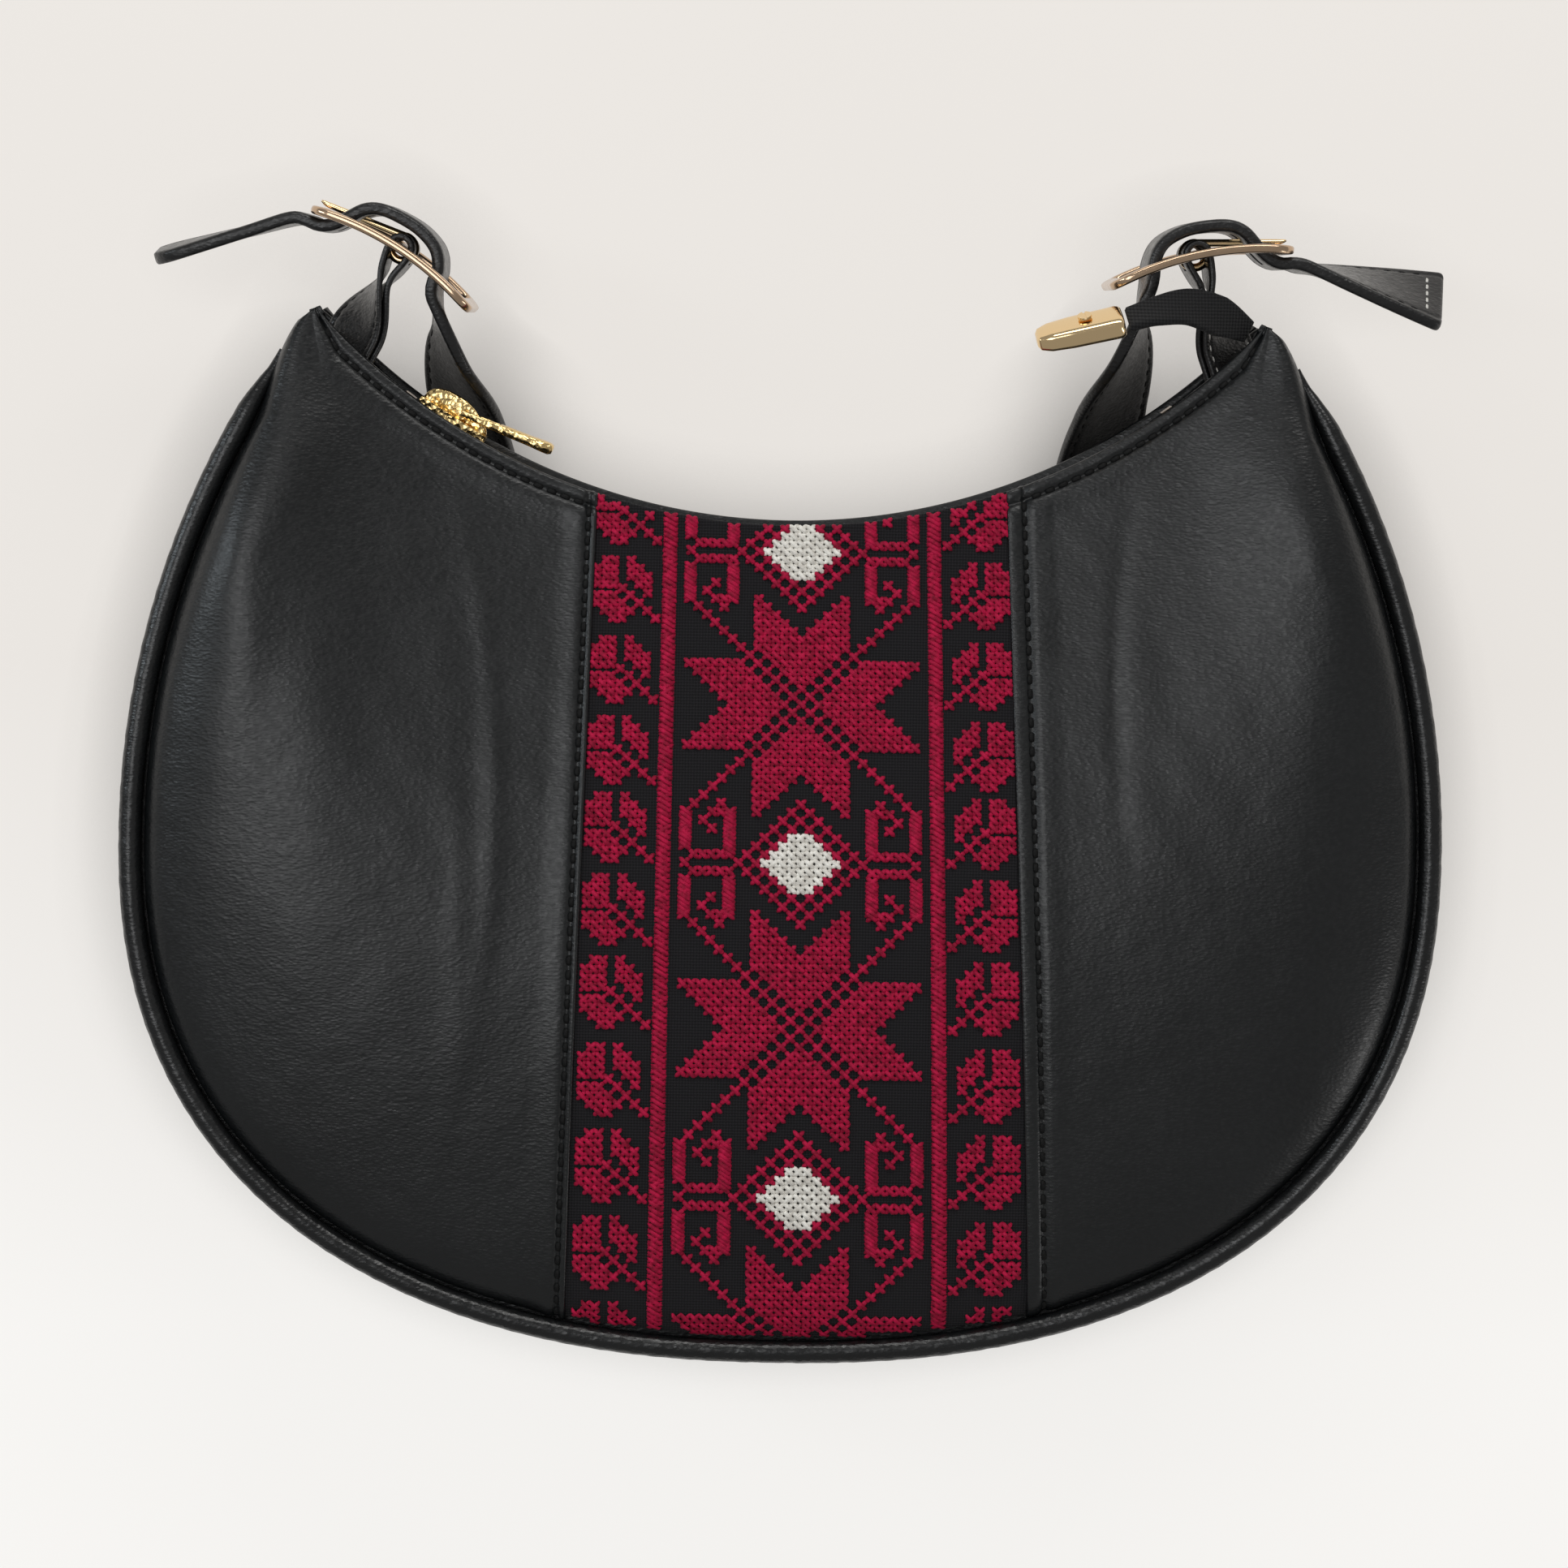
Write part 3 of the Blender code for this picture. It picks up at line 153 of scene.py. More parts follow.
BUCKLE_HALF_LENGTH = 0.0197
BUCKLE_HALF_WIDTH = 0.0145
BUCKLE_BOW = 0.0031
BUCKLE_THICKNESS = 0.0019
BUCKLE_END_BAR = 0.0030
BUCKLE_RAIL = 0.0034
BUCKLE_BAR = 0.0022
PRONG_RADIUS = 0.0009
PRONG_TIP_SHARE = 0.65
PRONG_RUN_GAP = 0.00025
RIGHT_BAR_FROM_TIP = (-0.0142, 0.0145)
RIGHT_LEAN = math.radians(12.5)
RIGHT_TAIL_FROM_TIP = (0.0388, 0.0056)
RIGHT_TAIL_TILT = math.radians(52)
LEFT_BAR_FROM_TIP = (-0.0170, 0.0126)
LEFT_LEAN = math.radians(31.6)
LEFT_TAIL_FROM_TIP = (0.0351, 0.0098)
LEFT_TAIL_TILT = math.radians(82)

# Places worked out from the sizes
TOP_ARC_CENTRE_Y = TOP_ARC_DIP_Y + TOP_ARC_RADIUS
TIP_ANGLE = math.asin(TIP_X / TOP_ARC_RADIUS)
TIP_Y = TOP_ARC_CENTRE_Y - TOP_ARC_RADIUS * math.cos(TIP_ANGLE)
ZIP_RADIUS = TOP_ARC_RADIUS + ZIP_RECESS
ZIP_HALF_ANGLE = math.asin((TIP_X - ZIP_END_FROM_TIP) / ZIP_RADIUS)
SLIDER_ANGLE = SLIDER_FROM_STOP / ZIP_RADIUS - ZIP_HALF_ANGLE
BAR_REACH = math.hypot(BUCKLE_BAR, BUCKLE_THICKNESS) / 2
RING_RADIUS = BAR_REACH + PRONG_RUN_GAP + PRONG_RADIUS
TAB_LOOP_RADIUS = BAR_REACH + CLEARANCE + TAB_LEATHER / 2
STRAP_RISE = RING_RADIUS + PRONG_RADIUS + CLEARANCE + STRAP_THICKNESS / 2
STRAP_UNDER_BAR = BUCKLE_THICKNESS / 2 + CLEARANCE + STRAP_THICKNESS / 2
TAPE_OUTER_Z = EDGE_HALF_DEPTH - LEATHER - LINING_CLEARANCE - FACING - CLEARANCE
TOOTH_INNER_Z = TOOTH_ROW_GAP / 2
TOOTH_OUTER_Z = TOOTH_INNER_Z + TOOTH_REACH
TAPE_INNER_Z = TOOTH_OUTER_Z + CLEARANCE
UP = np.array((0.0, 0.0, 1.0))
MM = 0.001


# numbers and curves

def smooth(x):
    x = np.clip(x, 0.0, 1.0)
    return x * x * (3 - 2 * x)


def mix(a, b, share):
    return a + (b - a) * share


def unit(v):
    v = np.asarray(v, float)
    return v / np.linalg.norm(v, axis=-1, keepdims=True)


def bell(x, width):
    return np.exp(-(x / width) ** 2)


def curve_through(points, steps):
    """A smooth curve through the given rows of numbers, with extra rows between."""
    rows = np.asarray(points, float)
    padded = np.vstack([2 * rows[0] - rows[1], rows, 2 * rows[-1] - rows[-2]])
    t = np.arange(steps)[:, None] / steps
    out = []
    for a, b, c, d in zip(padded, padded[1:], padded[2:], padded[3:]):
        bend = (a * 2 - b * 5 + c * 4 - d) * t**2
        turn = (b * 3 - a - c * 3 + d) * t**3
        out.append((b * 2 + (c - a) * t + bend + turn) / 2)
    return np.concatenate([*out, rows[-1:]])


def lengths_along(points):
    steps = np.linalg.norm(np.diff(points, axis=0), axis=1)
    return np.concatenate([[0.0], np.cumsum(steps)])


def at_lengths(at, along, rows):
    """The rows of numbers at the given lengths along their line."""
    return np.stack([np.interp(at, along, rows[:, k]) for k in range(rows.shape[1])], axis=-1)


def full_turn(count):
    return 2 * math.pi * np.arange(count) / count


# the body's surfaces

OUTLINE_STEPS = 400


def outline_table():
    """Points of the right half of the outline from the bottom to the tip, ways out and lengths."""
    points = []
    for i in range(OUTLINE_STEPS):
        angle = math.pi / 2 * (1 - i / OUTLINE_STEPS)
        x = HALF_WIDTH * math.cos(angle) ** (2 / LOWER_POWER)
        y = WIDEST_Y - LOWER_DEPTH * math.sin(angle) ** (2 / LOWER_POWER)
        points.append((x, y))
    rise = TIP_Y - TIP_DROP - WIDEST_Y
    inwards = HALF_WIDTH - TIP_X - TIP_OUT
    side_radius = (inwards**2 + rise**2) / (2 * inwards)
    centre_x = HALF_WIDTH - side_radius
    last = math.asin(rise / side_radius)
    for i in range(OUTLINE_STEPS + 1):
        angle = last * i / OUTLINE_STEPS
        points.append((centre_x + side_radius * math.cos(angle), WIDEST_Y + side_radius * math.sin(angle)))
    points = np.array(points)
    length = lengths_along(points)
    tangent = unit(np.gradient(points, length, axis=0))
    tangent[0] = (1.0, 0.0)
    return points, np.stack([tangent[:, 1], -tangent[:, 0]], axis=1), length


OUTLINE, OUTWARD, ALONG = outline_table()
HALF_LENGTH = ALONG[-1]


def seam_ends(side):
    """Angle of a seam's top end on the top arc and share of its bottom end on the outline."""
    top_x, bottom_x = SEAM_X[side]
    lower = slice(OUTLINE_STEPS)
    share = float(np.interp(bottom_x, OUTLINE[lower, 0], ALONG[lower])) / HALF_LENGTH
    return side * math.asin(top_x / TOP_ARC_RADIUS), side * share


def side_rib(side, s):
    """The rib at s: 0 at the seam and 1 at the tip."""
    angle, share = seam_ends(side)
    return mix(angle, side * TIP_ANGLE, s), mix(share, side, s)


def centre_rib(c):
    """The rib at c: -1 at the left seam and 1 at the right one."""
    (left_angle, left_share), (right_angle, right_share) = seam_ends(-1), seam_ends(1)
    s = (np.asarray(c, float) + 1) / 2
    return mix(left_angle, right_angle, s), mix(left_share, right_share, s)


def whole_rib(c):
    """The rib at c, from -1 at the left tip to 1 at the right tip."""
    ends = np.array(((-TIP_ANGLE, -1.0), seam_ends(-1), seam_ends(1), (TIP_ANGLE, 1.0)))
    return at_lengths(c, (-1.0, -0.46, 0.46, 1.0), ends).T


def rim_point(share, inset):
    share = np.asarray(share, float)
    side = np.where(share < 0, -1.0, 1.0)
    at = np.abs(share) * HALF_LENGTH
    x = np.interp(at, ALONG, OUTLINE[:, 0]) - inset * np.interp(at, ALONG, OUTWARD[:, 0])
    y = np.interp(at, ALONG, OUTLINE[:, 1]) - inset * np.interp(at, ALONG, OUTWARD[:, 1])
    return side * x, y


def piping_share(share):
    return smooth((1 - np.abs(share)) * HALF_LENGTH / PIPING_FULL_FROM_TIP)


def gusset_half(share):
    rest = (np.abs(share) - GUSSET_FULL_SHARE) / (1 - GUSSET_FULL_SHARE)
    return mix(GUSSET_HALF_DEPTH, EDGE_HALF_DEPTH, smooth(rest))


def arc_point(angle, radius=TOP_ARC_RADIUS):
    return radius * np.sin(angle), TOP_ARC_CENTRE_Y - radius * np.cos(angle)


def rib_ends(angle, share):
    """A rib's end on the top arc, its end at the piping and its length."""
    ax, ay = arc_point(angle)
    rx, ry = rim_point(share, CLEARANCE + 2 * PIPING_RADIUS * piping_share(share))
    return ax, ay, rx, ry, np.hypot(rx - ax, ry - ay)


def rib_length(angle, share):
    return rib_ends(angle, share)[-1]


def panel_point(angle, share, t, front):
    """Outer face of the front or back panel: t runs from the opening to the seam with the piping."""
    ax, ay, rx, ry, rib = rib_ends(angle, share)
    crown, power = FRONT_CROWN if front else BACK_CROWN
    base = mix(EDGE_HALF_DEPTH, gusset_half(share) + SEAM_DROP - SEAM_BELOW_PIPING, t)
    slack = smooth(rib / (LOWER_DEPTH * SLACK_RIB_SHARE))
    height = base + crown * slack * np.sin(math.pi * np.clip(t, 0, 1) ** power)
    height = height - SEAM_DROP * np.exp(-(1 - t) * rib / SEAM_ROLL) * t
    z = MID_Z + height if front else MID_Z - np.minimum(height, MID_Z)
    return np.stack(np.broadcast_arrays(mix(ax, rx, t), mix(ay, ry, t), z), axis=-1)


def grid_normals(grid, outward):
    """Unit normals of a grid of points, on the side that the given direction looks to."""
    normals = np.cross(np.gradient(grid, axis=0), np.gradient(grid, axis=1))
    normals = unit(normals + np.array(outward) * 1e-12)
    turned = np.sum(normals * np.array(outward), axis=-1, keepdims=True) < 0
    return np.where(turned, -normals, normals)


# meshes

SHARP_ANGLE = math.radians(60)
THREAD_SIDES = 6
# A stitch's share of its pitch, and how far its points stand over the surface
STITCH_SHARE = 0.68
STITCH_RISE = MM * np.array((-0.25, 0.032, 0.16, 0.16, 0.032, -0.25))


def add_object(name, data):
    obj = bpy.data.objects.new(name, data)
    bpy.context.scene.collection.objects.link(obj)
    return obj


def add_piece(name, mesh, material, body):
    mesh.materials.append(material)
    mesh.shade_smooth()
    obj = add_object(name, mesh)
    if body:
        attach(obj, body)
    return obj


def add_mesh(name, verts, faces, material, body="bag"):
    mesh = bpy.data.meshes.new(name)
    mesh.from_pydata([tuple(v) for v in verts], [], faces)
    bm = bmesh.new()
    bm.from_mesh(mesh)
    bmesh.ops.remove_doubles(bm, verts=bm.verts, dist=1e-7)
    bmesh.ops.recalc_face_normals(bm, faces=bm.faces)
    bm.to_mesh(mesh)
    bm.free()
    obj = add_piece(name, mesh, material, body)
    mesh.set_sharp_from_angle(angle=SHARP_ANGLE)
    return obj


def strip_faces(index, following):
    """Faces between rows of corners and the rows that follow them."""
    return np.stack([index[:-1], index[1:], following[1:], following[:-1]], axis=-1).reshape(-1, 4)


def shell(name, outer, inner, material, body="bag", holes=()):
    """A closed sheet between two grids of points, whose borders are joined by walls."""
    rows, columns = outer.shape[:2]
    half = rows * columns
    verts = np.concatenate([outer.reshape(-1, 3), inner.reshape(-1, 3)])
    index = np.arange(half).reshape(rows, columns)
    faces = strip_faces(index[:, :-1], index[:, 1:]).tolist()
    front = [tuple(face) for face in faces if divmod(face[0], columns) not in holes]
    faces = front + [tuple(i + half for i in reversed(face)) for face in front]
    edges = {(face[k], face[(k + 1) % 4]): None for face in front for k in range(4)}
    faces += [(b, a, a + half, b + half) for a, b in edges if (b, a) not in edges]
    return add_mesh(name, verts, faces, material, body)


def rounded_sheet(name, grid, normals, thickness, to_border, material, body="bag"):
    """A sheet whose borders are rolled: to_border gives each point's distance to the nearest one."""
    half = thickness / 2
    near = np.clip(1 - to_border / half, 0, 1)
    sink = half * (1 - np.sqrt(1 - near**2))
    outer = grid - normals * sink[..., None]
    inner = grid - normals * (thickness - sink)[..., None]
    return shell(name, outer, inner, material, body)


def add_parts(name, parts, material, body="bag"):
    """One mesh from (rings, closed) parts. A part that isn't closed has its two ends filled."""
    verts, faces = [], []
    for rings, closed in parts:
        count, size = rings.shape[:2]
        index = sum(len(v) for v in verts) + np.arange(count * size).reshape(count, size)
        if closed:
            index = np.concatenate([index, index[:1]])
        else:
            faces += [tuple(index[0].tolist()), tuple(index[-1, ::-1].tolist())]
        faces += [tuple(face) for face in strip_faces(index, np.roll(index, -1, axis=1)).tolist()]
        verts.append(rings.reshape(-1, 3))
    return add_mesh(name, np.concatenate(verts), faces, material, body)


def tube(centre, across, up, radius):
    """Rings of a round bar of the given radius at each centre point."""
    turn = full_turn(14)[:, None]
    ring = across[:, None] * np.cos(turn) + up[:, None] * np.sin(turn)
    return centre[:, None] + ring * radius[:, None, None]


def threads(name, paths, normals, width, height, material, body="bag"):
    """Many short flattened threads in one mesh. Paths and normals are (count, points, 3)."""
    count, points = paths.shape[:2]
    along = unit(np.gradient(paths, axis=1))
    across = unit(np.cross(along, normals))
    up = np.cross(across, along)
    thin = np.ones(points)
    thin[[0, -1]] = 0.45
    turn = full_turn(THREAD_SIDES)
    ring = across[:, :, None] * (np.cos(turn) * width / 2)[:, None]
    ring = ring + up[:, :, None] * (np.sin(turn) * height / 2)[:, None]
    verts = (paths[:, :, None] + ring * thin[:, None, None]).reshape(-1, 3)
    index = np.arange(len(verts)).reshape(count, points, THREAD_SIDES)
    nextward = np.roll(index, -1, axis=2)
    quads = np.stack([index[:, :-1], index[:, 1:], nextward[:, 1:], nextward[:, :-1]], axis=-1)
    faces = quads.reshape(-1, 4).tolist() + index[:, 0].tolist() + index[:, -1, ::-1].tolist()
    mesh = bpy.data.meshes.new(name)
    mesh.from_pydata(verts.tolist(), [], faces)
    return add_piece(name, mesh, material, body)


def stitch_paths(points, normals, pitch):
    """Single stitches along a line on a surface, each with its ends pulled in."""
    along = lengths_along(points)
    count = int(along[-1] / pitch)
    start = (along[-1] - count * pitch) / 2
    offsets = np.array((-1.0, -0.72, -0.3, 0.3, 0.72, 1.0)) * pitch * STITCH_SHARE / 2
    at = start + (np.arange(count)[:, None] + 0.5) * pitch + offsets
    normal = unit(at_lengths(at, along, normals))
    return at_lengths(at, along, points) + normal * STITCH_RISE[:, None], normal


# materials

class Nodes:
    """A short way to write a node material."""

    def __init__(self, name, color, roughness, **values):
        self.material = bpy.data.materials.new(name)
        self.material.use_nodes = True
        self.tree = self.material.node_tree
        self.shader = self.tree.nodes["Principled BSDF"]
        self.put(self.shader, {"Base Color": (*color, 1.0), "Roughness": roughness, **values})
        self.place = self.add("TexCoord").outputs["Object"]

    def put(self, node, inputs):
        """Sets each input to a value, or joins another node's output to it."""
        for key, value in inputs.items():
            if isinstance(value, bpy.types.NodeSocket):
                self.tree.links.new(value, node.inputs[key])
            else:
                node.inputs[key].default_value = value

    def add(self, kind, inputs=None, **settings):
        node = self.tree.nodes.new("ShaderNode" + kind)
        for key, value in settings.items():
            setattr(node, key, value)
        self.put(node, inputs or {})
        return node

    def stretched(self, scale):
        return self.add("Mapping", {"Vector": self.place, "Scale": scale}).outputs["Vector"]

    def noise(self, scale, detail=2.0):
        return self.add("TexNoise", {"Vector": self.place, "Scale": scale, "Detail": detail}).outputs["Fac"]

    def cells(self, scale, vector=None, feature="F1"):
        inputs = {"Vector": vector or self.place, "Scale": scale}
        return self.add("TexVoronoi", inputs, feature=feature).outputs["Distance"]

    def waves(self, scale, direction):
        inputs = {"Vector": self.place, "Scale": scale, "Distortion": 0.4, "Detail Scale": 2.0}
        return self.add("TexWave", inputs, bands_direction=direction).outputs["Fac"]

    def math(self, operation, a, b):
        return self.add("Math", {0: a, 1: b}, operation=operation).outputs[0]

    def spread(self, value, low, high, to_low, to_high):
        ends = {"From Min": low, "From Max": high, "To Min": to_low, "To Max": to_high}
        return self.add("MapRange", {"Value": value, **ends}).outputs["Result"]

    def roughness(self, scale, low, high):
        self.put(self.shader, {"Roughness": self.spread(self.noise(scale, 3.0), 0.3, 0.7, low, high)})

    def colors(self, value, *stops):
        node = self.add("ValToRGB", {"Fac": value})
        for element, (position, color) in zip(node.color_ramp.elements, stops):
            element.position = position
            element.color = (*color, 1.0)
        self.put(self.shader, {"Base Color": node.outputs["Color"]})

    def bumps(self, *layers):
        """Each layer is a height and the distance in metres that it stands for."""
        normal = {}
        for height, distance in layers:
            inputs = {"Strength": 1.0, "Distance": distance, "Height": height, **normal}
            normal = {"Normal": self.add("Bump", inputs).outputs["Normal"]}
        self.put(self.shader, normal)


def leather_material(name, dark, light, roughness, grain_bump):
    shine = {"Specular IOR Level": 0.38, "Coat Weight": 0.10, "Coat Roughness": 0.24}
    m = Nodes(name, dark, roughness, **shine)
    grain = m.cells(1.0, m.stretched((900, 1900, 1200)))
    pores = m.cells(1.0, m.stretched((420, 780, 560)), "DISTANCE_TO_EDGE")
    m.colors(m.noise(38.0, 4.0), (0.30, dark), (0.72, light))
    m.roughness(900.0, roughness - 0.07, roughness + 0.10)
    m.bumps((grain, grain_bump), (pores, grain_bump * 0.8), (m.noise(160.0, 3.0), 0.00022))
    return m.material


def gold_material(name, color, roughness, texture=0.0):
    m = Nodes(name, color, roughness, Metallic=1.0)
    m.roughness(420.0, roughness * 0.75, roughness * 1.3)
    if texture:
        m.bumps((m.cells(950.0), texture), (m.noise(300.0), texture * 0.6))
    else:
        m.bumps((m.noise(220.0), 0.000025))
    return m.material


def thread_material(name, dark, light):
    sheen = {"Sheen Weight": 0.03, "Sheen Roughness": 0.4, "Specular IOR Level": 0.18}
    m = Nodes(name, light, 0.62, **sheen)
    m.colors(m.noise(700.0, 3.0), (0.28, dark), (0.66, light))
    m.bumps((m.noise(3800.0), 0.00010))
    return m.material


def woven_material(name, dark, light, pitch, depth):
    """Plain weave: warp and weft ribs that take turns on top. The colour follows the ribs' height, with
    painted shade in the hollows between them and lighter rib tops.
    """
    sheen = {"Sheen Weight": 0.04, "Sheen Roughness": 0.5, "Specular IOR Level": 0.30}
    m = Nodes(name, dark, 0.88, **sheen)
    turns = math.pi / (10 * pitch)
    height = m.math("ADD", m.waves(turns, "X"), m.waves(turns, "Y"))
    # Painted shade: dark where the weave is low, light on the rib tops
    m.colors(m.math("MULTIPLY", height, 0.5), (0.2, dark), (0.8, light))
    m.bumps((height, depth), (m.noise(1500.0), 0.00006))
    return m.material


def felt_material(name, dark, light):
    m = Nodes(name, light, 0.95)
    m.colors(m.noise(900.0, 4.0), (0.3, dark), (0.7, light))
    m.bumps((m.noise(2200.0, 3.0), 0.00012))
    return m.material


def make_materials():
    dark_leather = ((0.0026, 0.0032, 0.0036), (0.0058, 0.0066, 0.0072))
    piping_leather = ((0.0035, 0.0038, 0.0041), (0.0070, 0.0074, 0.0078))
    # The strap's and tabs' leather is lighter than the bag's: a painted sheen for the grazing reflection on
    # their faces
    painted_sheen_strap_leather = ((0.0055, 0.0055, 0.0058), (0.0105, 0.0103, 0.0105))
    # For the weaves, the dark colour is painted shade in the hollows and the light one is for the rib tops
    linen = ((0.002, 0.002, 0.003), (0.010, 0.009, 0.011))
    tape = ((0.003, 0.003, 0.0035), (0.014, 0.014, 0.015))
    lining = ((0.015, 0.015, 0.017), (0.035, 0.035, 0.038))
    return {
        "leather": leather_material("black_grained_leather", *dark_leather, 0.36, 0.00006),
        "piping": leather_material("piping_leather", *piping_leather, 0.28, 0.00006),
        "strap": leather_material("black_strap_leather", *painted_sheen_strap_leather, 0.33, 0.00007),
        "cloth": woven_material("black_linen", *linen, 0.00062, 0.00010),
        "red": thread_material("red_thread", (0.17, 0.001, 0.016), (0.46, 0.004, 0.050)),
        "white": thread_material("white_thread", (0.55, 0.52, 0.47), (0.88, 0.86, 0.80)),
        "pale": thread_material("pale_stitch_thread", (0.45, 0.44, 0.41), (0.75, 0.74, 0.70)),
        "black": thread_material("black_stitch_thread", (0.001,) * 3, (0.004,) * 3),
        "tape": woven_material("zip_tape_weave", *tape, 0.00070, 0.00012),
        "lining": woven_material("lining_weave", *lining, 0.00050, 0.00005),
        "felt": felt_material("stiffener_felt", (0.34, 0.33, 0.30), (0.52, 0.51, 0.48)),
        "gold": gold_material("polished_light_gold", (0.86, 0.64, 0.36), 0.13),
        "antique": gold_material("antique_gold", (0.56, 0.40, 0.27), 0.17),
        "teeth": gold_material("zip_gold", (0.74, 0.53, 0.26), 0.26),
        "worked": gold_material("worked_gold", (0.80, 0.58, 0.26), 0.20, 0.00022),
    }


# the body's pieces

# Distances from a sewn border at which the surface gets points, denser at its fold and stitches
NEAR_BORDER = MM * np.array((
    0.0, 0.07, 0.22, 0.45, 0.7, 1.0, 1.25, 1.5, 1.75, 2.0, 2.4, 2.8, 3.0, 3.2, 3.4, 3.6, 3.9, 4.4, 5.2,
    6.5, 8.5,
))
NEAR_PIPING = MM * np.array((0.0, 0.07, 0.25, 0.5, 0.8, 1.2, 1.7, 2.3, 3.0, 3.9, 5.0, 6.5))
# Columns of points across each kind of panel, and rows between its two borders
FRONT_SIDE_GRID = (120, 70)
CLOTH_GRID = (90, 110)
BACK_GRID = (60, 45)
# Pitch and thread width of the topstitching
FRONT_TOPSTITCH = (3.05 * MM, 1.30 * MM)
BACK_TOPSTITCH = (3.0 * MM, 1.05 * MM)
TOP_STITCH = 3.2 * MM
LEFT_STITCH = 1.5 * MM
RIGHT_STITCH = 3.4 * MM
SEAM_OVERLAP = 0.6 * MM
FULL_BORDER_RIB = 0.040
# A sewn border's fold, the line where its stitches pull in, and the swell behind them
FOLD_HEIGHT = 0.22 * MM
STITCH_DEPTH = 0.55 * MM
STITCH_WIDTH = 0.62 * MM
SWELL_HEIGHT = 0.35 * MM
SWELL_OFF = 2.6 * MM
SWELL_WIDTH = 2.0 * MM
SEAM_PAD = 0.50 * MM
SEAM_PAD_REACH = 6 * MM
RIPPLE = 0.06 * MM
# Soft folds down the side panels: x, how far along y, y of the middle, height and width in mm
CREASES = {
    -1: (
        (-0.0605, 0.060, -0.005, 0.30, 2.4), (-0.067, 0.035, -0.030, 0.22, 2.6),
        (-0.097, 0.045, 0.010, 0.45, 9.0), (-0.113, 0.030, 0.035, 0.40, 5.0),
    ),
    1: (
        (0.0695, 0.030, 0.026, -0.30, 2.0), (0.074, 0.035, 0.024, 0.15, 4.0),
        (0.110, 0.050, -0.020, 0.35, 7.5),
    ),
}
# The folds start this far under the top edge, and fade in and out over these lengths
CREASE_START = 5 * MM
CREASE_FADE_IN = 12 * MM
CREASE_FADE_OUT = 15 * MM
CLOTH_THICKNESS = 1.1 * MM
CLOTH_SUNK = 0.30 * MM
FACING_THICKNESS = 1.2 * MM
LINING_THICKNESS = 0.6 * MM
LINING_GAP = 0.5 * MM
# The piping's ends tuck in under the panels, and its cord is a little uneven
TUCK_IN = 1.3 * MM
TUCK_UNDER = 1.9 * MM
THINNEST_CORD = 0.9 * MM
CORD_SWELL = 0.15 * MM
# The gusset's edges reach under the piping and turn in under the panels
GUSSET_UNDER_PIPING = 0.45 * MM
GUSSET_TURN_SHARE = 0.985
GUSSET_TURNED_IN = 4.6 * MM


def rib_stations(rib, near_top, near_bottom, middle):
    """Shares down each rib: close together near both ends, evenly spread between them."""
    scale = np.minimum(rib / FULL_BORDER_RIB, 1.0)[:, None]
    top = near_top[None] * scale / rib[:, None]
    bottom = 1 - near_bottom[::-1][None] * scale / rib[:, None]
    share = np.linspace(0, 1, middle + 2)[1:-1][None]
    return np.concatenate([top, mix(top[:, -1:], bottom[:, :1], share), bottom], axis=1), scale


def groove(distance, at):
    """A fold between the border and its stitches, which pull the leather in."""
    band = FOLD_HEIGHT * np.sin(math.pi * np.clip(distance / at, 0, 1))
    swell = SWELL_HEIGHT * bell(distance - at - SWELL_OFF, SWELL_WIDTH)
    return band + swell - STITCH_DEPTH * bell(distance - at, STITCH_WIDTH)


def border_point(distance):
    """Which of the points near a border is at the given distance from it."""
    return int(np.argmin(np.abs(NEAR_BORDER - distance)))


def side_grid(side, front, columns, middle):
    """Points of a side panel, from its seam with the cloth to the tip, and from the opening down."""
    near = NEAR_BORDER - SEAM_OVERLAP
    count = len(near)
    rest = np.append(np.linspace(0, 1, columns)[1:-1], (0.994, 0.998, 1.0))
    step = 0.01

    def place(s, t):
        return panel_point(*side_rib(side, s), t, front)

    def speed(t):
        return np.linalg.norm(place(step + 0 * t, t) - place(0 * t, t), axis=-1) / step

    first = near / float(speed(np.array([0.5]))[0])
    rib = rib_length(*side_rib(side, np.append(first, mix(first[-1], 1.0, rest))))
    t, scale = rib_stations(rib, NEAR_BORDER, NEAR_PIPING, middle)
    pace = speed(t)
    s = np.empty_like(t)
    s[:count] = near[:, None] / pace[:count]
    s[count:] = mix(near[-1] / pace[count:], 1.0, rest[:, None])
    from_seam = s * pace
    from_seam[:count] = NEAR_BORDER[:, None]
    from_top = t * rib[:, None] / scale
    from_bottom = (1 - t) * rib[:, None] / scale
    return place(s, t), from_top, from_bottom, from_seam, (1 - s) * pace * 0.5


def creases(grid, side):
    """Soft folds that run down a side panel."""
    x, y = grid[..., 0], grid[..., 1]
    height = RIPPLE * np.sin(x * 310 + 2.0 * np.sin(y * 55)) * np.sin(y * 170 + 1.3 * np.sin(x * 80))
    for at_x, reach, at_y, tall, wide in CREASES[side]:
        bend = at_x + side * 2.0 * (y - at_y) ** 2
        height += tall * MM * bell(x - bend, wide * MM) * bell(y - at_y, reach)
    return height


